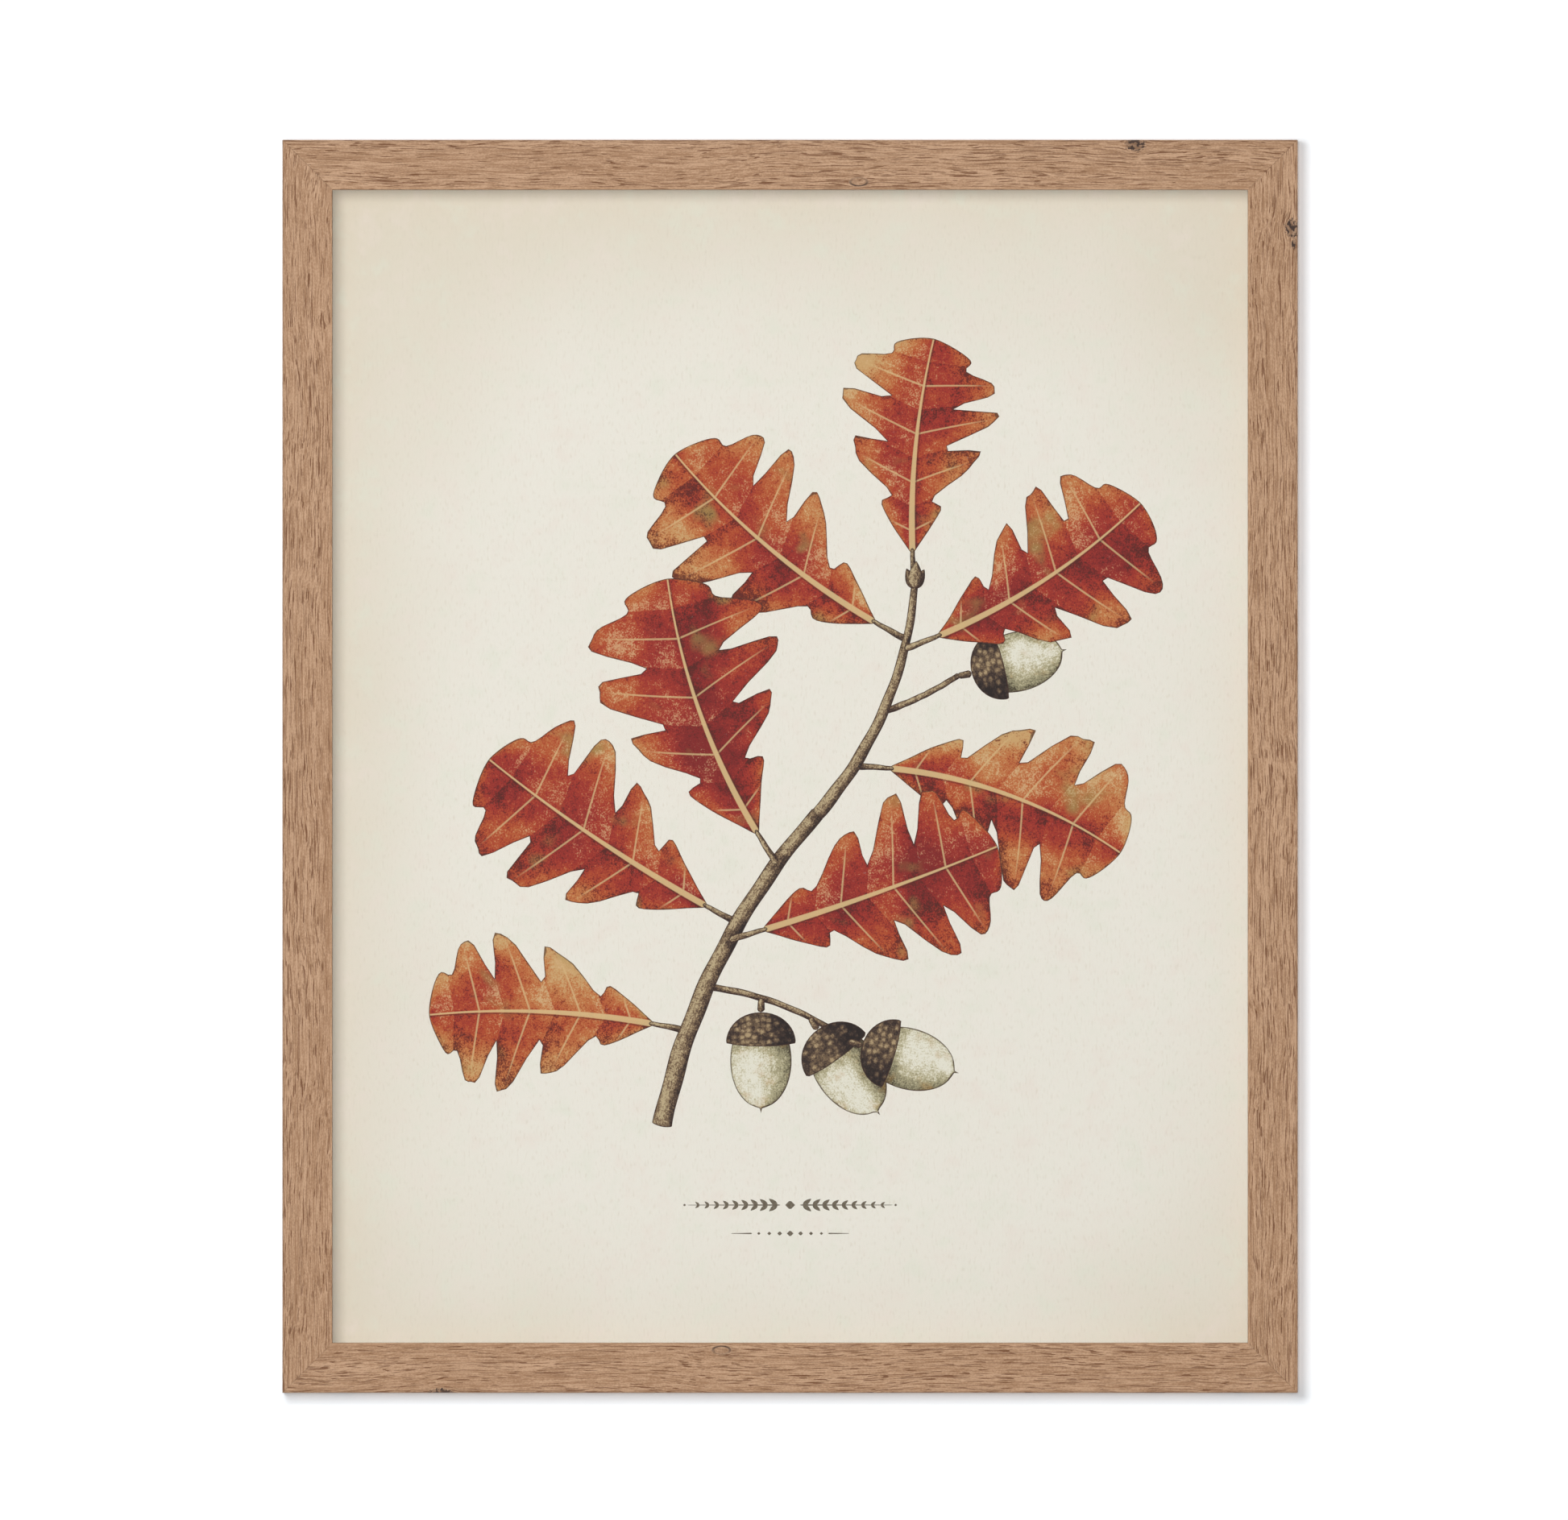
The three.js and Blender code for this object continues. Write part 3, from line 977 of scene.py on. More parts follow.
@dataclass(frozen=True)
class Drawn(Paper):
    """A drawn form, printed in crayon-grained inks.

    Each corner of the sheet's mesh holds where it is on its form, as named in READS: along, across
    and in from the outline in millimetres, then along and across as shares and the form's hue, then
    how far a form above it is, its seed and its length.

    Attributes:
        line_width: The width of the line round the form.
        depth: How strongly the crayon's grain breaks the tone.
    """

    line_width: float = 0.4
    depth: float = 0.8

    READS: ClassVar[dict[str, tuple[str, str, str]]] = {
        "ink": ("along", "across", "edge"),
        "form": ("u", "v", "hue"),
        "lie": ("over", "seed", "length"),
    }

    @abstractmethod
    def tint(self, graph: Graph, at: Signals) -> tuple[Signal, float]:
        """Wires the form's colour.

        Args:
            graph: The material's graph.
            at: The place on the form, by name.

        Returns:
            The colour, and how much of the outline's line shows.
        """

    def wire(self, graph: Graph) -> Signal:
        """Wires the form's colour, its line and the paper under it."""
        at = {"place": self.place(graph)}
        for stored, names in self.READS.items():
            at.update(zip(names, graph.split(graph.attribute(stored))))
        edged = InkedEdge.place(
            graph, Place=at["place"], Edge=at["edge"], Over=at["over"], Line_Width=self.line_width
        )
        at["shade"] = edged["Shade"]
        colour, line_share = self.tint(graph, at)
        colour = graph.blend(edged["Line"] * line_share, colour, srgb(66, 44, 38))
        cover = graph.noise(at["place"], 1.3, 2.0, 0.7).spread(0.9, 0.66, 0.72, 0.98)
        return self.surface(graph, cover, colour)

    def grained(self, graph: Graph, at: Signals, tone: Signal) -> Signal:
        """A tone in the shade of what lies above, broken by the crayon's grain."""
        shaded = at["shade"] * -0.34 + tone
        return Stipple.place(graph, Place=at["place"], Tone=shaded, Depth=self.depth)["Tone"]


@dataclass(frozen=True)
class LeafInk(Drawn):
    """An autumn oak leaf: crimson by the midrib, through orange to peach at the lobes.

    Attributes:
        lobes: How many lobes there are on a side, each with a side vein.
    """

    lobes: float = 4.5

    def tint(self, graph: Graph, at: Signals) -> tuple[Signal, float]:
        """Wires the flushes of colour, the quilted blade and the veins."""
        place, out = at["place"], abs(at["v"])
        cell = graph.math("FRACT", at["u"] * self.lobes) - 0.5
        from_vein = abs(cell) * (at["length"] / self.lobes)
        reach = out.spread(0.98, 0.55)
        vein = from_vein.spread(0.62, 0.18) * reach * at["u"].spread(0.03, 0.12)
        off_rib = abs(at["across"]) - at["u"].spread(0.0, 1.0, 1.25, 0.3)
        veins = graph.math("MAXIMUM", off_rib.spread(0.25, -0.2), vein * 0.75)

        tone = at["across"].spread(-2.0, 2.0, 0.11, -0.1) + cell * reach * -0.34
        tone = tone + graph.noise(place, 16.0, 3.0, 0.6).spread(0.25, 0.75, 0.3, 0.8)
        tone = tone + (at["edge"].spread(3.2, 0.0, 0.0, -0.14) + off_rib.spread(3.0, 0.0, 0.0, -0.12))
        tone = self.grained(graph, at, tone)

        flush = (graph.noise(place, 30.0) - 0.5) * 1.3 + at["hue"]
        flush = out.spread(0.15, 1.0) * 0.42 + flush + (tone - 0.5) * 0.5
        blade = graph.ramp(
            flush,
            (0.0, 132, 36, 37),
            (0.28, 162, 50, 41),
            (0.52, 180, 79, 45),
            (0.78, 195, 122, 71),
            (1.0, 204, 163, 110),
        )
        olive = graph.noise(place, 19.0, 2.0, 0.6).spread(0.58, 0.78, 0.0, 0.7)
        rib_line = abs(off_rib - 0.45).spread(0.45, 0.1) * at["across"].spread(0.0, 0.6) * 0.6
        for share, colour in (
            (olive, srgb(152, 138, 80)),
            (tone.spread(0.45, 0.0, 0.0, 0.78), srgb(72, 31, 28)),
            (tone.spread(0.72, 1.15, 0.0, 0.55), srgb(220, 185, 143)),
            (veins * 0.85, srgb(220, 190, 138)),
            (rib_line, srgb(84, 36, 32)),
        ):
            blade = graph.blend(share, blade, colour)
        return blade, 0.75


@dataclass(frozen=True)
class NutInk(Drawn):
    """An acorn's nut: cream in the light, grey-green in the shade, with ochre patches."""

    def tint(self, graph: Graph, at: Signals) -> tuple[Signal, float]:
        """Wires the round form, long faint lines and ochre patches."""
        tone = RoundForm.place(graph, Across=at["v"], Light=-0.32, Softness=1.5)["Tone"]
        lengthways = graph.join(at["along"], at["across"], at["seed"])
        lines = graph.noise(lengthways, (26.0, 0.8, 1.0), 2.0, 0.6)
        tone = (lines - 0.5) * 0.42 + tone + at["u"].spread(0.86, 1.02, 0.0, -0.42)
        colour = graph.ramp(
            self.grained(graph, at, tone),
            (0.0, 78, 70, 54),
            (0.3, 138, 131, 103),
            (0.58, 181, 172, 138),
            (0.8, 214, 207, 182),
            (1.0, 232, 228, 212),
        )
        patch = graph.noise(at["place"], 9.0, 3.0, 0.6).spread(0.52, 0.78, 0.0, 0.6)
        return graph.blend(patch, colour, srgb(187, 146, 82)), 0.8


@dataclass(frozen=True)
class CupInk(Drawn):
    """An acorn's cup: rows of dark umber scales with paler tips.

    Attributes:
        scale: The width of a scale.
    """

    scale: float = 2.9

    def tint(self, graph: Graph, at: Signals) -> tuple[Signal, float]:
        """Wires the scales over the round form."""
        form = RoundForm.place(graph, Across=at["v"], Light=-0.3, Softness=1.35)["Tone"]
        where = graph.join(at["along"] / (self.scale * 0.8), at["across"] / self.scale, at["seed"])
        feeds = {"Vector": where, "Scale": 1.0, "Randomness": 0.6}
        scales = graph.signal("ShaderNodeTexVoronoi", feeds, "Distance").spread(0.75, 0.1, -0.3, 0.28)
        colour = graph.ramp(
            self.grained(graph, at, form * 0.75 + scales),
            (0.0, 38, 29, 30),
            (0.35, 64, 49, 44),
            (0.7, 118, 96, 74),
            (1.0, 176, 152, 116),
        )
        return colour, 0.9


@dataclass(frozen=True)
class TwigInk(Drawn):
    """Umber bark with long cracks and a pale lit side."""

    def tint(self, graph: Graph, at: Signals) -> tuple[Signal, float]:
        """Wires the round form and the bark's cracks."""
        form = RoundForm.place(graph, Across=at["v"], Light=-0.4, Softness=1.4)["Tone"]
        lengthways = graph.join(at["along"], at["across"], at["seed"])
        cracks = graph.noise(lengthways, (9.0, 0.7, 1.0), 3.0, 0.65)
        spots = graph.noise(lengthways, (1.4, 0.8, 1.0), 1.0).spread(0.62, 0.75, 0.0, 0.3)
        tone = (cracks - 0.5) * 1.1 + form + spots
        colour = graph.ramp(
            self.grained(graph, at, tone * 0.9),
            (0.0, 44, 34, 34),
            (0.4, 86, 66, 54),
            (0.75, 140, 116, 88),
            (1.0, 190, 170, 134),
        )
        return colour, 0.9


@dataclass(frozen=True)
class RuleInk(Drawn):
    """The taupe of the small ornament, a little uneven as letterpress is."""

    def tint(self, graph: Graph, at: Signals) -> tuple[Signal, float]:
        """Wires an even tint with slight starving."""
        starved = graph.noise(at["place"], 0.8, 2.0, 0.7).spread(0.4, 0.8)
        return graph.blend(starved, srgb(104, 94, 80), srgb(138, 128, 112)), 0.2


# ---- The print: forms ----


@dataclass(frozen=True)
class Spine:
    """A line on the sheet that bends evenly, with places given along and across it.

    Attributes:
        base: Where it starts, from the sheet's middle.
        heading: Which way it starts, in degrees from the right, turning left.
        bend: How far it turns over its length, in degrees.
        length: Its length.
    """

    base: tuple[float, float]
    heading: float
    bend: float
    length: float

    STRAIGHT: ClassVar[float] = 0.05  # degrees of bend that stand for none

    @property
    def radius(self) -> float:
        """The radius of its arc, below zero where it turns right."""
        bend = self.bend if abs(self.bend) > self.STRAIGHT else self.STRAIGHT
        return self.length / math.radians(bend)

    @property
    def hub(self) -> np.ndarray:
        """The centre of its arc."""
        turn = math.radians(self.heading)
        return np.array(self.base) + np.array([-math.sin(turn), math.cos(turn)]) * self.radius

    def place(self, along: np.ndarray, across: np.ndarray) -> np.ndarray:
        """Points on the sheet, from how far each is along the line and to its left."""
        turn = math.radians(self.heading) + np.asarray(along) / self.radius
        normal = np.stack([-np.sin(turn), np.cos(turn)], -1)
        return self.hub - normal * (self.radius - np.asarray(across))[..., None]

    def at(self, along: float) -> tuple[float, float]:
        """A place on the line."""
        x, z = self.place(np.array([along]), np.zeros(1))[0]
        return float(x), float(z)

    def measure(self, points: np.ndarray) -> tuple[np.ndarray, np.ndarray]:
        """How far points of the sheet are along the line, and how far to its left."""
        sign = math.copysign(1.0, self.radius)
        away = points - self.hub
        far = np.linalg.norm(away, axis=-1)
        normal = -sign * away / np.maximum(far, 1e-9)[..., None]
        turn = np.arctan2(-normal[..., 0], normal[..., 1]) - math.radians(self.heading)
        turn = (turn + math.pi) % (2 * math.pi) - math.pi
        return turn * self.radius, self.radius - sign * far

    def heading_at(self, along: float) -> float:
        """Its heading at a place along it, in degrees."""
        return self.heading + math.degrees(along / self.radius)


class Ink(Enum):
    """What a part of the sheet shows, in the order of its materials."""

    BARE = 0
    LEAF = 1
    NUT = 2
    CUP = 3
    TWIG = 4
    RULE = 5


def distance_to(outline: np.ndarray, points: np.ndarray) -> np.ndarray:
    """How far each point is from a closed line, given by its corners."""
    run = np.roll(outline, -1, 0) - outline
    length = np.maximum((run**2).sum(1), 1e-12)
    away = points[:, None, :] - outline
    share = np.clip((away * run).sum(2) / length, 0, 1)
    return np.linalg.norm(away - share[..., None] * run, axis=2).min(1)


def holds(outline: np.ndarray, points: np.ndarray) -> np.ndarray:
    """Whether each point is inside a closed line."""
    x, y = points[:, None, 0], points[:, None, 1]
    x0, y0 = outline.T
    x1, y1 = np.roll(outline, -1, 0).T
    crosses = x < (x1 - x0) * (y - y0) / np.where(y1 == y0, 1e-12, y1 - y0) + x0
    return (((y0 > y) != (y1 > y)) & crosses).sum(1) % 2 == 1


@dataclass(frozen=True)
class Form(ABC):
    """A drawn form about a spine.

    Attributes:
        spine: The line that it follows.
        half_width: Half its greatest width.
        hue: Which of its ink's colours it leans to.
        seed: Sets its own texture apart.
    """

    spine: Spine
    half_width: float
    hue: float = 0.0
    seed: float = 0.0

    ink: ClassVar[Ink]
    STEP: ClassVar[float] = 1.6  # the spacing of the edge's points
    LATTICE: ClassVar[float] = 4.0  # the spacing of the points inside
    INSET: ClassVar[float] = 1.0  # how far in from the edge a ring of them is
    RIDGE: ClassVar[tuple[float, float]] = (0.03, 0.96)  # shares of the length with inner points
    CLEAR: ClassVar[float] = 0.85  # the share of a width, or of the inset, that keeps off the edge

    @abstractmethod
    def breadth(self, share: np.ndarray, side: int) -> np.ndarray:
        """Half its width at shares of its length, on one side."""

    def full(self, share: np.ndarray) -> np.ndarray:
        """Half the width that counts as 1 across it."""
        return np.maximum(self.breadth(share, 1), 0.05)

    def lean(self, share: np.ndarray, across: np.ndarray) -> np.ndarray:
        """How far along its own lines have run at a place across it."""
        return np.zeros_like(across)

    def unlean(self, along: np.ndarray, across: np.ndarray) -> np.ndarray:
        """The start of the own line through a place, as a length along the spine."""
        return along

    def outline(self) -> np.ndarray:
        """The form's edge, once round."""
        count = max(8, round(self.spine.length / self.STEP))
        share = (1 - np.cos(np.linspace(0, math.pi, count))) / 2
        sides = []
        for side in (-1, 1):
            across = self.breadth(share, side) * side
            along = share * self.spine.length + self.lean(share, across)
            sides.append(self.spine.place(along, across))
        return np.concatenate([sides[0], sides[1][::-1][1:-1]])

    def inner(self) -> tuple[np.ndarray, np.ndarray]:
        """The points that its mesh keeps inside.

        Returns:
            The points of its spine, and loose points on its own lines.
        """
        count = max(3, round(self.spine.length / self.LATTICE))
        share = np.linspace(*self.RIDGE, count)
        ridge = self.spine.place(share * self.spine.length, np.zeros(count))
        loose = self.inset()
        for at in share:
            widest = min(float(self.breadth(np.array([at]), side)[0]) for side in (-1, 1))
            for row in range(1, int(widest * self.CLEAR / self.LATTICE) + 1):
                for side in (-1, 1):
                    across = np.array([side * row * self.LATTICE])
                    along = at * self.spine.length + self.lean(np.array([at]), across)
                    loose.append(self.spine.place(along, across)[0])
        return ridge, np.array(loose).reshape(-1, 2)

    def inset(self) -> list[np.ndarray]:
        """Points a little inside the edge, so that the drawn line there keeps its width."""
        outline = self.outline()
        run = np.roll(outline, -1, 0) - np.roll(outline, 1, 0)
        inward = np.stack([-run[:, 1], run[:, 0]], 1) / np.linalg.norm(run, axis=1)[:, None]
        ring = outline + inward * self.INSET
        clear = holds(outline, ring) & (distance_to(outline, ring) > self.INSET * self.CLEAR)
        return list(ring[clear])

    def corners(self, points: np.ndarray, light: tuple[float, float]) -> tuple[np.ndarray, np.ndarray]:
        """What the inks read at points of the form.

        Args:
            points: Points on the sheet.
            light: Where the drawn light comes from.

        Returns:
            Along, across and in from the edge; and the two as shares, with the hue.
        """
        along, across = self.spine.measure(points)
        along = self.unlean(along, across)
        share = np.clip(along / self.spine.length, 0, 1)
        turn = math.radians(self.spine.heading_at(self.spine.length / 2))
        lit = -math.copysign(1.0, -math.sin(turn) * light[0] + math.cos(turn) * light[1])
        v = across / self.full(share) * lit
        own = np.stack([along, across * lit, distance_to(self.outline(), points)], 1)
        return own, np.stack([share, v, np.full(len(share), self.hue)], 1)


@dataclass(frozen=True)
class OakLeaf(Form):
    """A lobed leaf, widest past its middle, with its lobes swept forward.

    Attributes:
        lobes: How many lobes there are on a side.
        cut: How deep the sinuses go, as a share of the half width.
        sweep: How far forward a side vein runs for its distance from the midrib.
        slip: Half of how far the lobes of one side are behind the other's, in lobes.
    """

    lobes: float = 4.5
    cut: float = 0.6
    sweep: float = 0.5
    slip: float = 0.06

    ink = Ink.LEAF
    TAPER: ClassVar[float] = 0.62
    PEAK: ClassVar[float] = 0.34  # the greatest value of share * (1 - share) ** TAPER

    def full(self, share: np.ndarray) -> np.ndarray:
        """The width that its lobes' tips reach."""
        shape = share * np.power(np.clip(1 - share, 0, 1), self.TAPER)
        return np.maximum(self.half_width * shape / self.PEAK, 0.6)

    def breadth(self, share: np.ndarray, side: int) -> np.ndarray:
        """The lobes, with rounded sinuses cut between them."""
        lobe = share * self.lobes + side * self.slip + 0.05 * np.sin(9 * share + self.seed)
        sinus = np.power((1 + np.cos(2 * math.pi * lobe)) / 2, 2.6)
        depth = self.cut * np.clip(share * 4, 0, 1) * np.clip((1 - share) * 4.5, 0, 1)
        rough = 1 + 0.035 * np.sin(23 * share + side + self.seed) + 0.015 * np.sin(61 * share + 2 * side)
        shape = self.full(share) * (1 - depth * sinus) * rough
        return np.where(share >= 1, 0.0, shape) * np.clip(share * 60 + 0.3, 0, 1)

    def lean(self, share: np.ndarray, across: np.ndarray) -> np.ndarray:
        """Its side veins run forward, less so towards the tip."""
        return self.sweep * (1 - share**2) * np.abs(across)

    def unlean(self, along: np.ndarray, across: np.ndarray) -> np.ndarray:
        """Solves the lean for where a vein leaves the midrib."""
        run = self.sweep * np.abs(across)
        k = np.maximum(run / self.spine.length**2, 1e-9)
        inner = np.clip(1 - 4 * k * (along - run), 0, None)
        return (1 - np.sqrt(inner)) / (2 * k)


@dataclass(frozen=True)
class Nut(Form):
    """An acorn's nut: a long oval with a small point."""

    ink = Ink.NUT
    STEP = 0.9
    LATTICE = 3.0

    def breadth(self, share: np.ndarray, side: int) -> np.ndarray:
        """A blunt oval that ends in a point."""
        oval = np.power(np.clip(1 - ((share - 0.42) / 0.52) ** 2, 0, 1), 0.5)
        point = 0.075 * np.clip((1 - share) / 0.1, 0, 1)
        return self.half_width * np.maximum(oval, point)


@dataclass(frozen=True)
class Cup(Form):
    """An acorn's cup: a bowl with a slightly bowed rim."""

    ink = Ink.CUP
    STEP = 0.9
    LATTICE = 3.0
    RIM: ClassVar[float] = 0.9  # the share of its depth at which its rim starts

    def breadth(self, share: np.ndarray, side: int) -> np.ndarray:
        """A deep bowl."""
        bowl = np.power(np.clip(1 - (1 - share / self.RIM) ** 2, 0, 1), 0.48)
        rim = np.power(np.clip((1 - share) / 0.1, 0, 1), 0.4)
        return self.half_width * np.where(share < self.RIM, bowl, rim)


@dataclass(frozen=True)
class Strip(Form):
    """A twig, stalk or rule that tapers evenly.

    Attributes:
        end_width: Half its width at its end.
    """

    end_width: float = 0.5

    ink = Ink.TWIG
    ROUND: ClassVar[float] = 0.8  # the length over which an end is rounded

    def full(self, share: np.ndarray) -> np.ndarray:
        """The tapering half width."""
        return self.half_width + (self.end_width - self.half_width) * share

    def breadth(self, share: np.ndarray, side: int) -> np.ndarray:
        """The taper with rounded ends."""
        nearest = np.minimum(share, 1 - share) * self.spine.length / self.ROUND
        knots = 1 + 0.07 * np.sin(31 * share + 2 * side + self.seed)
        return self.full(share) * np.power(np.clip(nearest, 0, 1), 0.5) * knots


@dataclass(frozen=True)
class Bud(Form):
    """A pointed bud."""

    ink = Ink.TWIG
    STEP = 0.8

    def breadth(self, share: np.ndarray, side: int) -> np.ndarray:
        """An egg shape with a point."""
        return self.half_width * np.sin(math.pi * np.power(share, 0.7)) ** 0.8


@dataclass(frozen=True)
class RuleStroke(Strip):
    """A tapering stroke of the ornament."""

    ink = Ink.RULE

    def breadth(self, share: np.ndarray, side: int) -> np.ndarray:
        """An even taper to a fine end."""
        return self.full(share) * np.clip(np.minimum(share, 1 - share) * 40, 0, 1)


@dataclass(frozen=True)
class Leaflet(Bud):
    """A small leaf of the ornament."""

    ink = Ink.RULE


@dataclass(frozen=True)
class Lozenge(Form):
    """A four-cornered dot of the ornament."""

    ink = Ink.RULE

    def breadth(self, share: np.ndarray, side: int) -> np.ndarray:
        """Straight sides to a corner half way."""
        return self.half_width * (1 - np.abs(2 * share - 1))


@dataclass
class Sprig:
    """The drawn design: an oak sprig in autumn with its acorns, over a small ornament.

    Attributes:
        foot: Where the sprig starts, from the sheet's middle.
        ornament_height: The ornament's height there.
        stalk: The length of a leaf's stalk.
        overlap: How far the stalk runs on over the blade's foot.
        nut_half: Half a nut's width, as a share of its length.
        cup_depth: A cup's depth, as a share of that half width, and so on for the next two.
        cup_half: Half a cup's width.
        seat: How deep in the cup the nut starts.
        leaflets: How many pairs of leaflets the ornament has on each side.
        pitch: The distance from one pair to the next.
        splay: How far a leaflet turns from the line, in degrees.
        forms: What has been drawn, from the back to the front.
    """

    foot: tuple[float, float] = (-54.0, -152.0)
    ornament_height: float = -190.0
    stalk: float = 14.0
    overlap: float = 3.0
    nut_half: float = 0.34
    cup_depth: float = 1.12
    cup_half: float = 1.14
    seat: float = 0.35
    leaflets: int = 9
    pitch: float = 4.1
    splay: float = 38.0
    forms: list[Form] = field(default_factory=list)

    def draw(self) -> list[Form]:
        """Lays the forms out from the back to the front, and gives them in that order."""
        lower = Spine(self.foot, 79.0, -31.0, 150.0)
        upper = Spine(lower.at(148.5), 48.0, 38.0, 108.0)
        # for each leaf: its branch, how far up, heading, bend, length, half width and hue
        behind = (
            (lower, 42, 168, 16, 96, 33, 0.46),
            (upper, 26, -2, -30, 106, 36, 0.42),
            (upper, 84, 152, -20, 112, 36, 0.3),
            (lower, 92, 152, -10, 112, 37, 0.22),
        )
        ahead = (
            (lower, 122, 124, -24, 116, 40, 0.08),
            (lower, 84, 16, 6, 106, 36, 0.16),
            (upper, 80, 20, 22, 104, 35, 0.2),
            (upper, 106, 94, -16, 92, 33, 0.34),
        )
        for plan in behind:
            self.leaf(*plan)
        self.cluster(Spine(lower.at(62.0), -6.0, -30.0, 66.0), (24, -96, 38), (46, -60, 40), (65, -22, 38))
        self.cluster(Spine(upper.at(52.0), 18.0, 16.0, 36.0), (35, 8, 37))
        for branch, start, end in ((lower, 4.2, 3.0), (upper, 3.0, 1.5)):
            self.forms.append(Strip(branch, start, seed=len(self.forms) * 3.1, end_width=end))
        for plan in ahead:
            self.leaf(*plan)
        tip = upper.at(upper.length - 2)
        for heading, length in ((112, 9.0), (62, 9.0), (86, 11.5)):
            self.forms.append(Bud(Spine(tip, heading, 0.0, length), length * 0.27, seed=heading))
        self.ornament()
        return self.forms

    def leaf(
        self,
        branch: Spine,
        along: float,
        heading: float,
        bend: float,
        length: float,
        half_width: float,
        hue: float,
    ) -> None:
        """Adds a leaf and its stalk.

        Args:
            branch: The spine that it grows on.
            along: How far up that is.
            heading: Which way it points at its base.
            bend: How far its midrib turns.
            length: The blade's length.
            half_width: Half the blade's width.
            hue: Which colour it leans to.
        """
        root, seed = branch.at(along), len(self.forms) * 1.7
        stalk = Spine(root, heading, bend * 0.1, self.stalk)
        blade = Spine(stalk.at(stalk.length), heading + bend * 0.1, bend, length)
        self.forms.append(OakLeaf(blade, half_width, hue, seed, slip=0.07 * math.sin(seed * 5)))
        stalk = Spine(root, heading, bend * 0.13, self.stalk + self.overlap)
        self.forms.append(Strip(stalk, 1.6, seed=seed, end_width=0.9))

    def cluster(self, stalk: Spine, *acorns: tuple[float, float, float]) -> None:
        """Adds a stalk with its acorns.

        Args:
            stalk: The line of the stalk.
            acorns: For each acorn, how far along the stalk, its heading and its nut's length.
        """
        self.forms.append(Strip(stalk, 1.5, seed=5.0, end_width=1.2))
        for far, turn, nut in acorns:
            half = nut * self.nut_half
            stem = Spine(stalk.at(far), turn, 6.0, 6.0)
            self.forms.append(Strip(stem, 1.3, seed=far, end_width=1.6))
            cup = Spine(stem.at(stem.length), turn + 6, 0.0, half * self.cup_depth)
            kernel = Spine(cup.at(half * self.seat), turn + 6, 0.0, nut)
            self.forms.append(Nut(kernel, half, seed=far + nut))
            self.forms.append(Cup(cup, half * self.cup_half, seed=far + turn))

    def ornament(self) -> None:
        """Adds a small garland of leaflets either side of a lozenge, over a short row of dots."""
        height, low = self.ornament_height + 5, self.ornament_height - 7
        self.lozenge(height, 0.0, 2.1)
        for side, heading in ((-1, 180.0), (1, 0.0)):
            line = Spine((side * 4.0, height), heading, 0.0, 39.5)
            self.forms.append(RuleStroke(line, 0.3, end_width=0.12))
            for i in range(self.leaflets):
                size, x = 4.3 - 0.27 * i, side * (5.5 + self.pitch * i)
                for up in (-1, 1):
                    stem = Spine((x, height), heading + up * side * self.splay, 0.0, size)
                    self.forms.append(Leaflet(stem, size * 0.22))
            self.lozenge(height, side * 44.5, 0.6)
            for i in range(1, 4):
                self.lozenge(low, side * 4.4 * i, 1.15 - 0.15 * i)
            tail = Spine((side * 16.0, low), heading, 0.0, 9.0)
            self.forms.append(RuleStroke(tail, 0.3, end_width=0.1))
        self.lozenge(low, 0.0, 1.4)

    def lozenge(self, height: float, x: float, half: float) -> None:
        """Adds a lozenge of the ornament."""
        self.forms.append(Lozenge(Spine((x - half, height), 0.0, 0.0, 2 * half), half))


# ---- The sheet ----


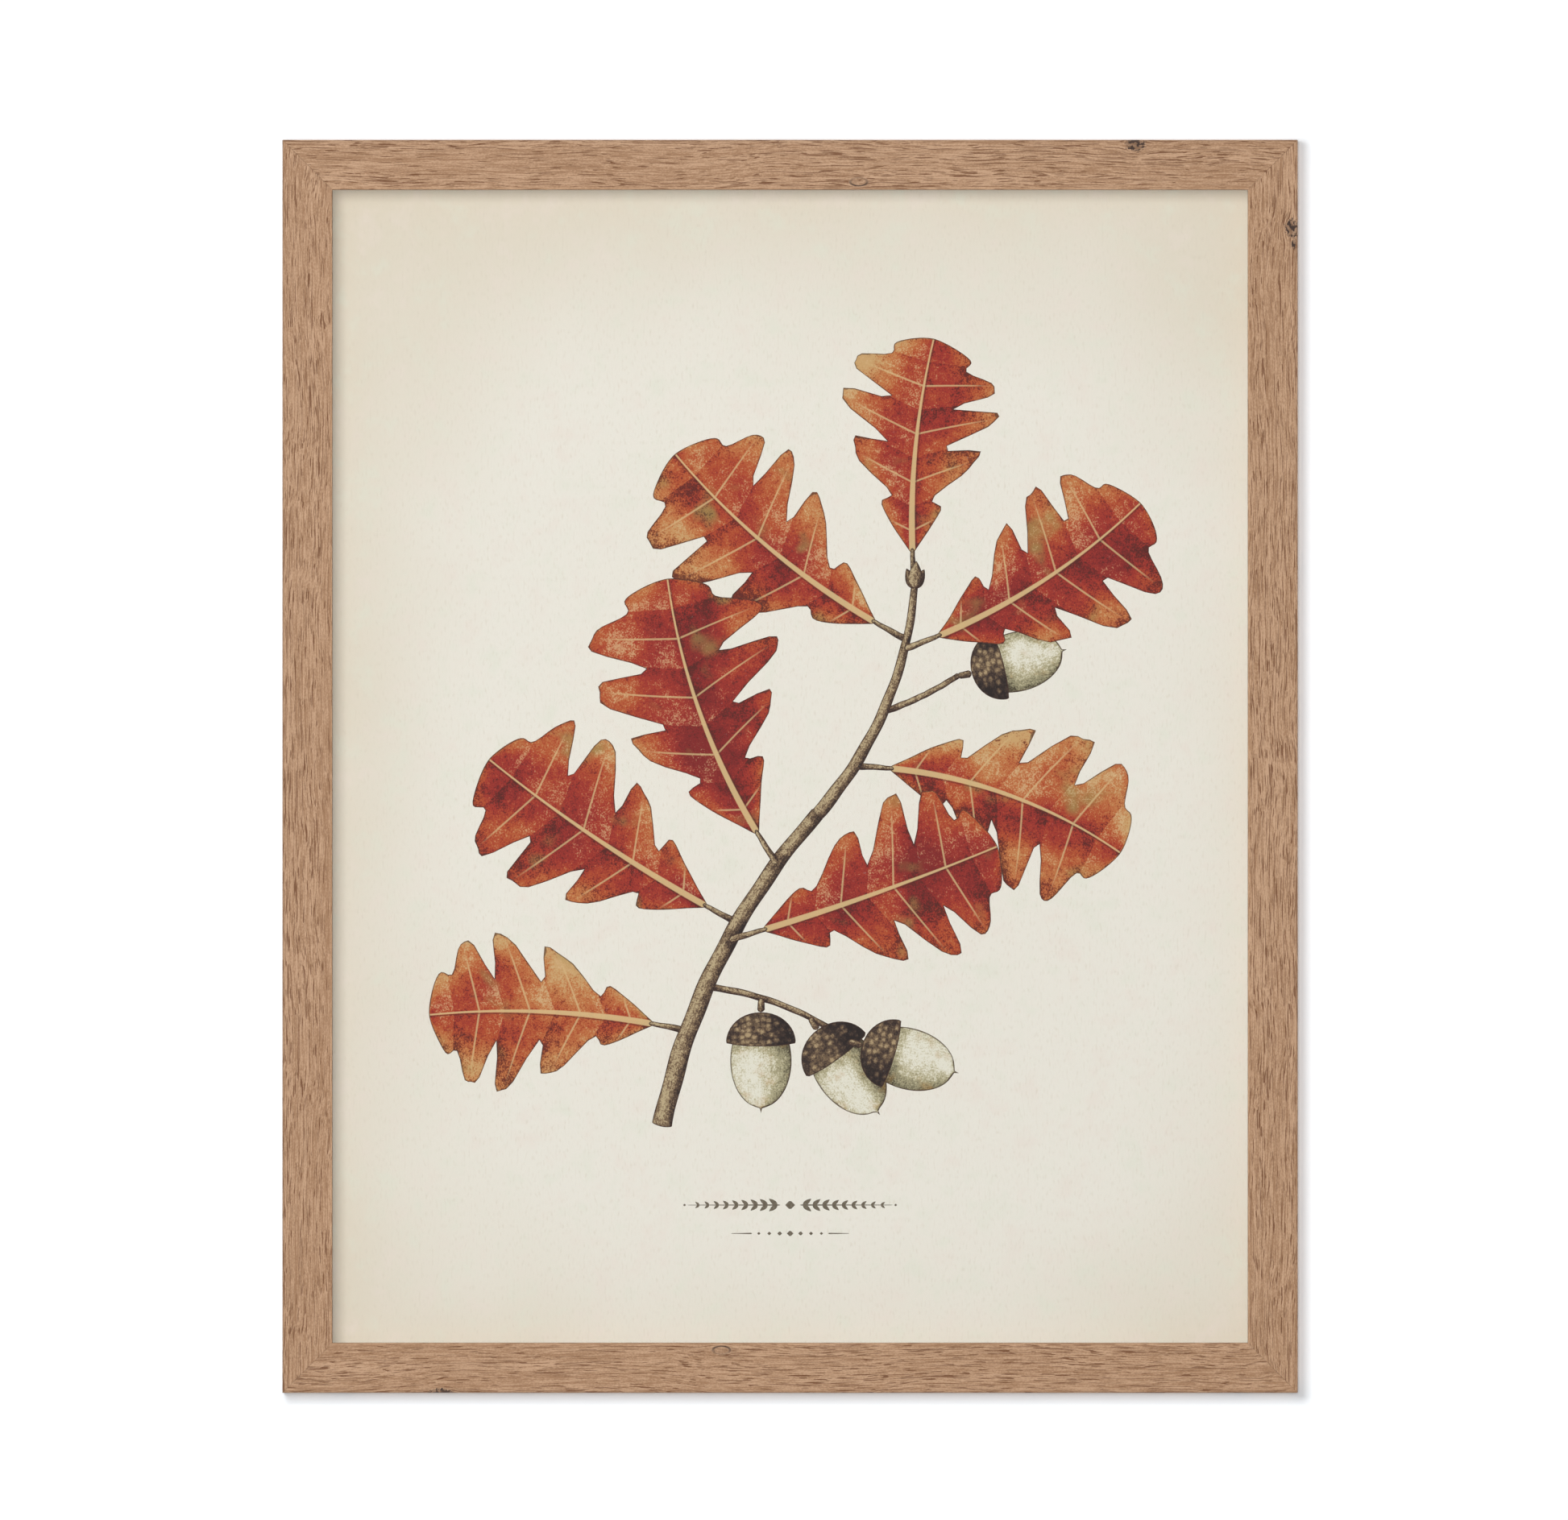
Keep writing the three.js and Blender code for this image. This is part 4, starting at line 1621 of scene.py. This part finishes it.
@dataclass
class PrintedSheet(SubAssembly):
    """The sheet, whose face is cut along the outlines of what is printed on it.

    Attributes:
        glass_gap: How far its face is behind the glass.
        light: Where the drawn light comes from, to the right and up.
        no_shade: How far off a form above counts as none.
    """

    glass_gap: float = 0.05
    light: tuple[float, float] = (-0.7, 0.7)
    no_shade: float = 50.0

    ALL: ClassVar[int] = 0  # the triangulation's output that leaves nothing out
    MERGE: ClassVar[float] = 1e-4  # millimetres within which it makes two points one

    def build(self) -> list[bpy.types.Object]:
        """Builds the sheet with its printed face."""
        low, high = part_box("print_sheet")
        top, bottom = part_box("rail_top")[1].z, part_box("rail_bottom")[0].z
        middle = (top + bottom) / 2 / MM
        front, back = low.y / MM + self.glass_gap, high.y / MM
        left, right, foot, head = low.x / MM, high.x / MM, low.z / MM - middle, high.z / MM - middle
        rim = np.array([(left, foot), (right, foot), (right, head), (left, head)])
        forms = Sprig().draw()
        flat, faces, owners = self.cut(rim, forms)
        count = len(flat)
        points = np.empty((count + 4, 3))
        points[:count, 0], points[:count, 1], points[:count, 2] = flat[:, 0], front, flat[:, 1] + middle
        points[count:] = [(x, back, z + middle) for x, z in rim]
        ring = [int(np.argmin(np.abs(flat - corner).sum(1))) for corner in rim]
        rear = list(range(count, count + 4))
        walls = [(ring[i], rear[i], rear[(i + 1) % 4], ring[(i + 1) % 4]) for i in range(4)]
        piece = mesh_object("printed_sheet", points, [*faces, rear[::-1], *walls])
        mesh = piece.data
        inks = [form.ink for form in forms] + [Ink.BARE]  # number -1 is the bare sheet
        slots = [inks[owner].value for owner in owners] + [Ink.BARE.value] * 5
        for name, values in self.corner_values(flat, faces, owners, forms, len(mesh.loops)).items():
            vector_attribute(mesh, name, "CORNER", values)
        finishes = (
            Paper("bare_paper", middle),
            LeafInk("leaf_ink", middle),
            NutInk("nut_ink", middle, line_width=0.45, depth=0.6),
            CupInk("cup_ink", middle, line_width=0.4, depth=0.5),
            TwigInk("twig_ink", middle, line_width=0.35),
            RuleInk("rule_ink", middle, line_width=0.05),
        )
        dress(piece, "paper", "print_sheet", *finishes)
        mesh.polygons.foreach_set("material_index", slots)
        return [piece]

    @classmethod
    def cut(
        cls, rim: np.ndarray, forms: Sequence[Form]
    ) -> tuple[np.ndarray, list[Sequence[int]], list[int]]:
        """Cuts the sheet's face into triangles along every outline.

        Args:
            rim: The sheet's corners.
            forms: What is drawn, from the back to the front.

        Returns:
            The points, the triangles, and which form shows in each, or -1.
        """
        points = [tuple(corner) for corner in rim]
        rings = [list(range(len(rim)))]
        edges: list[tuple[int, int]] = []
        for form in forms:
            outline, (ridge, loose) = form.outline(), form.inner()
            first = len(points) + len(outline)
            rings.append(list(range(len(points), first)))
            edges += [(first + i, first + i + 1) for i in range(len(ridge) - 1)]
            points += [*outline.tolist(), *ridge.tolist(), *loose.tolist()]
        vectors = [Vector(point) for point in points]
        found = delaunay_2d_cdt(vectors, edges, rings, cls.ALL, cls.MERGE, True)
        flat, triangles, kept = np.array([tuple(point) for point in found[0]]), found[2], found[5]
        faces, owners = [], []
        for face, kept_in in zip(triangles, kept):
            a, b, c = flat[list(face[:3])]
            area = (b[0] - a[0]) * (c[1] - a[1]) - (b[1] - a[1]) * (c[0] - a[0])
            faces.append(tuple(face) if area > 0 else tuple(reversed(face)))
            owners.append(max(kept_in, default=0) - 1)
        return flat, faces, owners

    def corner_values(
        self,
        flat: np.ndarray,
        faces: Sequence[Sequence[int]],
        owners: Sequence[int],
        forms: Sequence[Form],
        loops: int,
    ) -> dict[str, np.ndarray]:
        """What the inks read at each corner.

        Args:
            flat: The sheet's points.
            faces: Its triangles.
            owners: The form in each.
            forms: The forms.
            loops: How many corners the whole mesh has.

        Returns:
            The attributes by name.
        """
        values = {name: np.zeros((loops, 3)) for name in Drawn.READS}
        corner_points = np.array([number for face in faces for number in face])
        corner_owners = np.repeat(np.array(owners), [len(face) for face in faces])
        outlines = [form.outline() for form in forms]
        for number, form in enumerate(forms):
            corners = np.flatnonzero(corner_owners == number)
            if not len(corners):
                continue
            used, back = np.unique(corner_points[corners], return_inverse=True)
            points = flat[used]
            over = np.full(len(points), self.no_shade)
            for outline in outlines[number + 1 :]:
                over = np.minimum(over, distance_to(outline, points))
            seed, length = (np.full(len(points), value) for value in (form.seed, form.spine.length))
            read = (*form.corners(points, self.light), np.stack([over, seed, length], 1))
            for name, rows in zip(Drawn.READS, read):
                values[name][corners] = rows[back]
        return values


# ---- The glass ----


@dataclass(frozen=True)
class ClearGlass(Finish):
    """Clear glass with a faint even reflection and a few smears."""

    def wire(self, graph: Graph) -> Signal:
        """Wires a see-through shader under a gloss on the outside that follows Fresnel."""
        clear = graph.signal("ShaderNodeBsdfTransparent", {"Color": (0.996, 1.0, 0.998, 1.0)})
        rough = graph.noise(graph.place_mm(), 34.0, 1.0).spread(0.4, 0.8, 0.02, 0.07)
        gloss = graph.signal("ShaderNodeBsdfGlossy", {"Roughness": rough})
        inside = graph.signal("ShaderNodeNewGeometry", None, "Backfacing")
        seen = graph.signal("ShaderNodeFresnel", {"IOR": 1.2}) * (1.0 - inside)
        return graph.signal("ShaderNodeMixShader", {0: seen, 1: clear, 2: gloss})


@dataclass
class PictureGlass(SubAssembly):
    """The pane, with its cut edges eased.

    Attributes:
        arris: The width of the eased edge.
    """

    arris: float = 0.25

    def build(self) -> list[bpy.types.Object]:
        """Builds the pane, which lets the lamps through."""
        pane = slab("glazing", "picture_glass", self.arris)
        dress(pane, "glass", "glazing", ClearGlass("clear_glass"))
        pane.visible_shadow = False
        return [pane]


# ---- The back ----


@dataclass(frozen=True)
class SheetMetal(Finish):
    """Bright sheet metal with drawn lines, dull spots and a little tarnish.

    Attributes:
        bright: Its colour where it is clean.
        tarnished: Its colour where it has dulled.
        lines: The size of a drawn line along each axis, in millimetres.
        dullness: How rough it is at its cleanest.
    """

    bright: Colour
    tarnished: Colour
    lines: Triple = (5.0, 0.12, 0.12)
    dullness: float = 0.2

    def wire(self, graph: Graph) -> Signal:
        """Wires the metal."""
        place = graph.place_mm()
        marks = Brushing.place(graph, Place=place, Lines=self.lines, Dullness=self.dullness)
        spots = graph.noise(place, 3.1, 3.0, 0.65)
        old = (marks["Tone"] * 0.3 + spots).spread(0.62, 1.0)
        colour = graph.blend(old, self.bright, self.tarnished)
        rough = graph.math("MULTIPLY_ADD", old, 0.22, marks["Roughness"], clamp=True)
        normal = graph.bump(marks["Height"], 0.4, 0.02)
        return self.principled(graph, Base_Color=colour, Metallic=1.0, Roughness=rough, Normal=normal)


@dataclass(frozen=True)
class Hardboard(Finish):
    """Smooth pressed hardboard: short brown fibres under a faint sheen, with rubbed patches."""

    def wire(self, graph: Graph) -> Signal:
        """Wires flecks, fibres and rubbed patches."""
        place = graph.place_mm()
        fibres = graph.noise(place, (1.7, 1.7, 0.5), 3.0, 0.7)
        tone = fibres + graph.noise(place, (0.5, 1.7, 1.9), 3.0, 0.7)
        flecks = graph.noise(place, 1.1, 1.0)
        rubbed = graph.noise(place, 55.0, 4.0, 0.6)
        colour = graph.blend(tone.spread(0.75, 1.25), srgb(122, 90, 62), srgb(158, 124, 92))
        colour = graph.blend(flecks.spread(0.66, 0.76, 0.0, 0.55), colour, srgb(84, 58, 40))
        colour = graph.blend(rubbed.spread(0.5, 0.75, 0.0, 0.35), colour, srgb(176, 146, 116))
        rough = rubbed.spread(0.3, 0.8, 0.5, 0.72)
        normal = graph.bump(tone, 0.5, 0.04)
        return self.principled(
            graph, Base_Color=colour, Roughness=rough, Normal=normal, Specular_IOR_Level=0.4
        )


@dataclass(frozen=True)
class Felt(Finish):
    """Dense grey felt of matted fibres, a little flattened and dusty."""

    def wire(self, graph: Graph) -> Signal:
        """Wires two sizes of fibre and a soft bloom at the rim."""
        place = graph.place_mm()
        tone = graph.noise(place, 1.1) * 0.6 + graph.noise(place, (0.16, 0.3, 0.55), 3.0, 0.7)
        colour = graph.blend(tone.spread(0.55, 1.1), srgb(82, 81, 78), srgb(138, 136, 131))
        normal = graph.bump(tone, 0.9, 0.12)
        return self.principled(
            graph, Base_Color=colour, Roughness=0.95, Normal=normal, Sheen_Weight=0.4, Sheen_Roughness=0.6
        )


STEEL = SheetMetal("bright_steel", srgb(196, 198, 200), srgb(128, 124, 118))
BRASS = SheetMetal("brass_plating", srgb(214, 178, 98), srgb(136, 98, 52), (7.0, 0.14, 0.14), 0.16)


@dataclass
class BackingBoard(SubAssembly):
    """The board that closes the back, and the points that hold it in.

    Attributes:
        arris: The width of the board's eased edges.
        burr: The width of the points' eased edges.
    """

    arris: float = 0.3
    burr: float = 0.09

    def build(self) -> list[bpy.types.Object]:
        """Builds the board and its points."""
        board = slab("backing_board", "hardboard_back", self.arris)
        dress(board, "hardboard", "backing_board", Hardboard("pressed_hardboard"))
        pieces = [board]
        for node in [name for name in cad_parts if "_tab_" in name]:
            point = eased(node, node.replace("tab", "point"), self.burr)
            dress(point, "steel", node, STEEL)
            pieces.append(point)
        return pieces


@dataclass
class Hanger(SubAssembly):
    """The sawtooth hanger and its two round-headed nails.

    Attributes:
        arris: The width of the strip's eased edges.
        shank: Half the nails' thickness.
        point: The length of a nail's point.
        head: Half a head's width.
        under_edge: How much the head's lower edge is rounded off.
        rim: The height of the head's upright rim.
        around: How many sides a nail has.
        dome_steps: How many steps its dome rises in.
    """

    arris: float = 0.11
    shank: float = 0.7
    point: float = 1.6
    head: float = 2.0
    under_edge: float = 0.06
    rim: float = 0.14
    around: int = 40
    dome_steps: int = 8

    OFF_WOOD: ClassVar[float] = 0.05  # millimetres from the wood that clear it

    def build(self) -> list[bpy.types.Object]:
        """Builds the strip and its nails."""
        strip = eased("hanger", "sawtooth_hanger", self.arris)
        dress(strip, "brass_plate", "hanger", BRASS)
        pieces = [strip]
        for side in ("left", "right"):
            node = f"hanger_nail_{side}"
            nail = turned(f"nail_{side}", node, self.profile(node), self.around)
            dress(nail, "brass_plate", node, BRASS)
            pieces.append(nail)
        return pieces

    def profile(self, node: str) -> list[tuple[float, float]]:
        """A nail's profile, from its point to the top of its dome."""
        low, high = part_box(node)
        tip, top = low.y / MM, high.y / MM
        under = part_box("rail_top")[1].y / MM + self.gauge()
        rows = [(0.0, tip), (self.shank, tip + self.point), (self.shank, under)]
        rows += [(self.head - self.under_edge, under), (self.head, under + self.under_edge)]
        rows.append((self.head, under + self.rim))
        for i in range(1, self.dome_steps):
            turn = math.pi / 2 * i / self.dome_steps
            rise = (top - under - self.rim) * math.sin(turn)
            rows.append((self.head * math.cos(turn), under + self.rim + rise))
        return [*rows, (0.0, top)]

    def gauge(self) -> float:
        """The strip's thickness over the wood, in millimetres."""
        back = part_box("rail_top")[1].y
        clear = back + self.OFF_WOOD * MM
        heights = [vert.co.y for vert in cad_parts["hanger"].data.vertices]
        return (min(height for height in heights if height > clear) - back) / MM


@dataclass
class Bumpers(SubAssembly):
    """The two felt pads that keep the frame off the wall.

    Attributes:
        roughness: How far the felt's surface strays.
        tufts: For each size of tuft, how many go to a millimetre and how strong they are.
        crown: The radius that its outer rim is rounded to.
        side_inset: How far its side is inside the solid's.
        back_inset: How far the edge of its glued face is inside it.
        around: How many sides it has.
        rings: How many rings its outer face has.
        side_steps: How many steps its side has.
        crown_steps: How many steps its rounded rim has.
    """

    roughness: float = 0.05
    tufts: tuple[tuple[float, float], ...] = ((2.3, 0.5), (6.1, 0.25))
    crown: float = 0.6
    side_inset: float = 0.05
    back_inset: float = 0.15
    around: int = 96
    rings: int = 9
    side_steps: int = 4
    crown_steps: int = 5

    def build(self) -> list[bpy.types.Object]:
        """Builds both pads."""
        pads = []
        for side in ("left", "right"):
            node = f"bumper_{side}"
            pad = turned(f"felt_{node}", node, self.profile(node), self.around)
            self.mat(pad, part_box(node)[1].y / MM)
            dress(pad, "felt", node, Felt("grey_felt"))
            pads.append(pad)
        return pads

    def profile(self, node: str) -> list[tuple[float, float]]:
        """A pad's profile, from its glued face to the one at the wall."""
        low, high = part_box(node)
        radius, back, wall = (high.x - low.x) / 2 / MM, low.y / MM, high.y / MM
        side, height = radius - self.side_inset, wall - self.crown - back
        rows = [(0.0, back), (radius - self.back_inset, back)]
        rows += [(side, back + height * i / self.side_steps) for i in range(self.side_steps + 1)]
        for i in range(1, self.crown_steps + 1):
            turn = math.pi / 2 * i / self.crown_steps
            rim = side - self.crown * (1 - math.cos(turn))
            rows.append((rim, wall - self.crown * (1 - math.sin(turn))))
        flat = side - self.crown
        rows += [(flat * (1 - i / self.rings), wall) for i in range(1, self.rings)]
        return [*rows, (0.0, wall)]

    def mat(self, pad: bpy.types.Object, wall: float) -> None:
        """Makes a pad's surface uneven, no further out than it was."""
        for vert in pad.data.vertices:
            place = vert.co / MM
            stray = sum(noise.noise(place * count) * share for count, share in self.tufts)
            vert.co -= vert.normal * (0.5 + stray) * self.roughness * MM
            vert.co.y = min(vert.co.y, wall * MM)


class VNails(SubAssembly):
    """The V-nails of the mitres, which show only their sunk backs and stay as they are."""

    def build(self) -> list[bpy.types.Object]:
        """Gives the solids their steel."""
        nails = [node for name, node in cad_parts.items() if name.startswith("v_nail")]
        for nail in nails:
            nail.data.materials.clear()
            nail.data.materials.append(STEEL.material())
        return nails


# ---- The studio ----


class Lights(Enum):
    """What a lamp lights, with its light linking's rule for the wall."""

    PART = "EXCLUDE"
    WALL = "INCLUDE"


@dataclass(frozen=True)
class StagePaint(Finish):
    """White paint on a sheet that is clear from behind, with a glow of its own to look at."""

    glow: float = 0.0

    def wire(self, graph: Graph) -> Signal:
        """Wires plain white with a see-through back."""
        paint = graph.signal("ShaderNodeBsdfDiffuse", {"Color": (0.9, 0.9, 0.9, 1.0)})
        looked_at = graph.signal("ShaderNodeLightPath", None, "Is Camera Ray")
        glow = graph.signal("ShaderNodeEmission", {"Strength": looked_at * self.glow})
        front = graph.signal("ShaderNodeAddShader", {0: paint, 1: glow})
        clear = graph.signal("ShaderNodeBsdfTransparent")
        back = graph.signal("ShaderNodeNewGeometry", None, "Backfacing")
        return graph.signal("ShaderNodeMixShader", {0: back, 1: front, 2: clear})


@dataclass(frozen=True)
class Lamp:
    """A soft square lamp that faces the part.

    Attributes:
        name: Its name.
        offset: Where it is from the part's middle, in metres.
        side: Its side, in metres.
        watts: Its power.
        lights: What it lights.
        mirrored: Whether glossy surfaces show it.
    """

    name: str
    offset: Triple
    side: float
    watts: float
    lights: Lights = Lights.PART
    mirrored: bool = True

    DAYLIGHT: ClassVar[Triple] = (0.925, 0.965, 1.0)

    def build(self, middle: Vector, wall: bpy.types.Object) -> bpy.types.Object:
        """Hangs the lamp.

        Args:
            middle: The part's middle, in metres.
            wall: The wall, which the part's own lamps leave out.

        Returns:
            The lamp.
        """
        light = bpy.data.lights.new(self.name, "AREA")
        light.shape, light.size, light.energy = "SQUARE", self.side, self.watts
        if self.lights is Lights.WALL:
            light.color = self.DAYLIGHT
        lamp = linked(self.name, light)
        away = Vector(self.offset)
        lamp.location = middle + away
        lamp.rotation_euler = away.to_track_quat("Z", "Y").to_euler()
        lamp.visible_camera, lamp.visible_glossy = False, self.mirrored
        lit = bpy.data.collections.new(f"{self.name}_lights")
        lit.objects.link(wall)
        lamp.light_linking.receiver_collection = lit
        lit.collection_objects[0].light_linking.link_state = self.lights.value
        return lamp


@dataclass
class Studio:
    """The wall, the floor, the lamps and the camera.

    Attributes:
        lens: The camera's focal length, in millimetres.
        sensor: Its sensor's width, in millimetres.
        view: The width and height of the view, in pixels.
        across: Where the frame's left and right edges come in it.
        down: Where its top and bottom edges come in it.
        wall_gap: How far the wall is behind the part, in metres.
        wall_side: Its side, in metres.
        floor_drop: How far the floor is below the frame, in metres.
        floor_side: Its side, in metres.
        clip: The nearest and furthest that the camera sees, in metres.
        air_light: How strongly the surroundings light things.
        air_look: How bright they look.
        lamps: The part's own lamps, once they hang.
    """

    lens: float = 600.0
    sensor: float = 36.0
    view: tuple[int, int] = (1946, 1887)
    across: tuple[float, float] = (349.3, 1611.9)
    down: tuple[float, float] = (174.5, 1728.2)
    wall_gap: float = 0.0006
    wall_side: float = 2.6
    floor_drop: float = 0.75
    floor_side: float = 12.0
    clip: tuple[float, float] = (0.05, 40.0)
    air_light: float = 0.12
    air_look: float = 0.8
    lamps: list[bpy.types.Object] = field(default_factory=list)

    RIG: ClassVar[tuple[Lamp, ...]] = (
        Lamp("key", (-1.28, -3.52, 1.18), 2.4, 81.0),
        Lamp("fill", (0.0, -4.0, 0.0), 0.5, 64.0, mirrored=False),
        Lamp("wall_front", (0.0, -14.0, 0.1), 1.2, 1040.0, Lights.WALL),
        Lamp("wall_side", (-0.35, -3.0, 0.24), 0.55, 57.5, Lights.WALL),
        Lamp("side_right", (2.0, 0.5, 0.3), 0.6, 12.0),
        Lamp("above", (-0.3, 0.6, 1.6), 1.0, 14.0),
        Lamp("under", (0.3, 0.6, -1.6), 1.0, 20.0),
        Lamp("rear_left", (-1.6, 2.2, 1.1), 1.4, 46.0),
        Lamp("rear_right", (1.5, 2.4, 0.2), 1.8, 28.0),
    )

    def build(self) -> None:
        """Sets the stage, the lamps and the camera."""
        low, high = CAD_BOX
        middle = (low + high) / 2
        back, ground = (0, self.wall_gap, middle.z), (0, 0, low.z - self.floor_drop)
        upright = (math.pi / 2, 0, 0)
        wall = self.sheet("wall", back, self.wall_side, upright, StagePaint("wall_paint"))
        floor = self.sheet("floor", ground, self.floor_side, ORIGIN, StagePaint("floor_paint", 0.5))
        for flag in ("visible_diffuse", "visible_glossy", "visible_transmission", "visible_shadow"):
            setattr(wall, flag, False)
        floor.visible_diffuse = False
        for plan in self.RIG:
            lamp = plan.build(middle, wall)
            if plan.lights is Lights.PART:
                self.lamps.append(lamp)
        self.camera(middle)
        self.air()
        LOG.info("stage: %s and %s, %d lamps", wall.name, floor.name, len(self.RIG))

    @staticmethod
    def sheet(
        name: str, place: Sequence[float], side: float, turn: Sequence[float], finish: Finish
    ) -> bpy.types.Object:
        """A square stage sheet.

        Args:
            name: The object's name.
            place: Its middle, in metres.
            side: Its side, in metres.
            turn: Its rotation.
            finish: Its material.

        Returns:
            The sheet.
        """
        half = side / 2 / MM
        points = np.array([(-half, -half, 0), (half, -half, 0), (half, half, 0), (-half, half, 0)])
        made = mesh_object(name, points, [range(4)])
        made.location, made.rotation_euler = place, turn
        made.data.materials.append(finish.material())
        return made

    def keep_off(self, pane: bpy.types.Object) -> None:
        """Keeps the reflections of the part's own lamps off a pane."""
        for lamp in self.lamps:
            lit = lamp.light_linking.receiver_collection
            lit.objects.link(pane)
            lit.collection_objects[-1].light_linking.link_state = "EXCLUDE"

    def camera(self, middle: Vector) -> None:
        """Puts the camera straight in front, as far off as the frame's size in the view asks."""
        low, high = CAD_BOX
        (wide, tall), (left, right), (top, bottom) = self.view, self.across, self.down
        scale = ((high.x - low.x) / (right - left) + (high.z - low.z) / (bottom - top)) / 2
        x = middle.x + (wide / 2 - (left + right) / 2) * scale
        z = middle.z + ((top + bottom) / 2 - tall / 2) * scale
        optics = bpy.data.cameras.new("camera")
        optics.lens, optics.sensor_width = self.lens, self.sensor
        optics.clip_start, optics.clip_end = self.clip
        camera = linked("camera", optics)
        camera.location = (x, low.y - scale * wide * self.lens / self.sensor, z)
        camera.rotation_euler = (math.pi / 2, 0, 0)
        bpy.context.scene.camera = camera

    def air(self) -> None:
        """Sets the surroundings, dim as light and pale to look at, and shows colours as they are lit."""
        world = bpy.data.worlds.new("studio")
        world.use_nodes = True
        world.node_tree.nodes.clear()
        graph = Graph(world.node_tree)
        seen = graph.signal("ShaderNodeLightPath", None, "Is Camera Ray")
        strength = seen.spread(0.0, 1.0, self.air_light, self.air_look)
        air = graph.signal("ShaderNodeBackground", {"Color": WHITE, "Strength": strength})
        graph.node("ShaderNodeOutputWorld", {"Surface": air})
        bpy.context.scene.world = world
        bpy.context.scene.view_settings.view_transform = "Standard"


def main() -> None:
    """Builds the stage and every sub-assembly, and reports each piece."""
    logging.basicConfig(level=logging.INFO, format="%(name)s: %(message)s")
    studio = Studio()
    studio.build()
    parts = (OakFrame(), PrintedSheet(), PictureGlass(), BackingBoard(), Hanger(), Bumpers(), VNails())
    for part in parts:
        for piece in part.build():
            LOG.info("%s: %d faces", piece.name, len(piece.data.polygons))
    studio.keep_off(bpy.data.objects["picture_glass"])


if __name__ == "__main__":
    main()
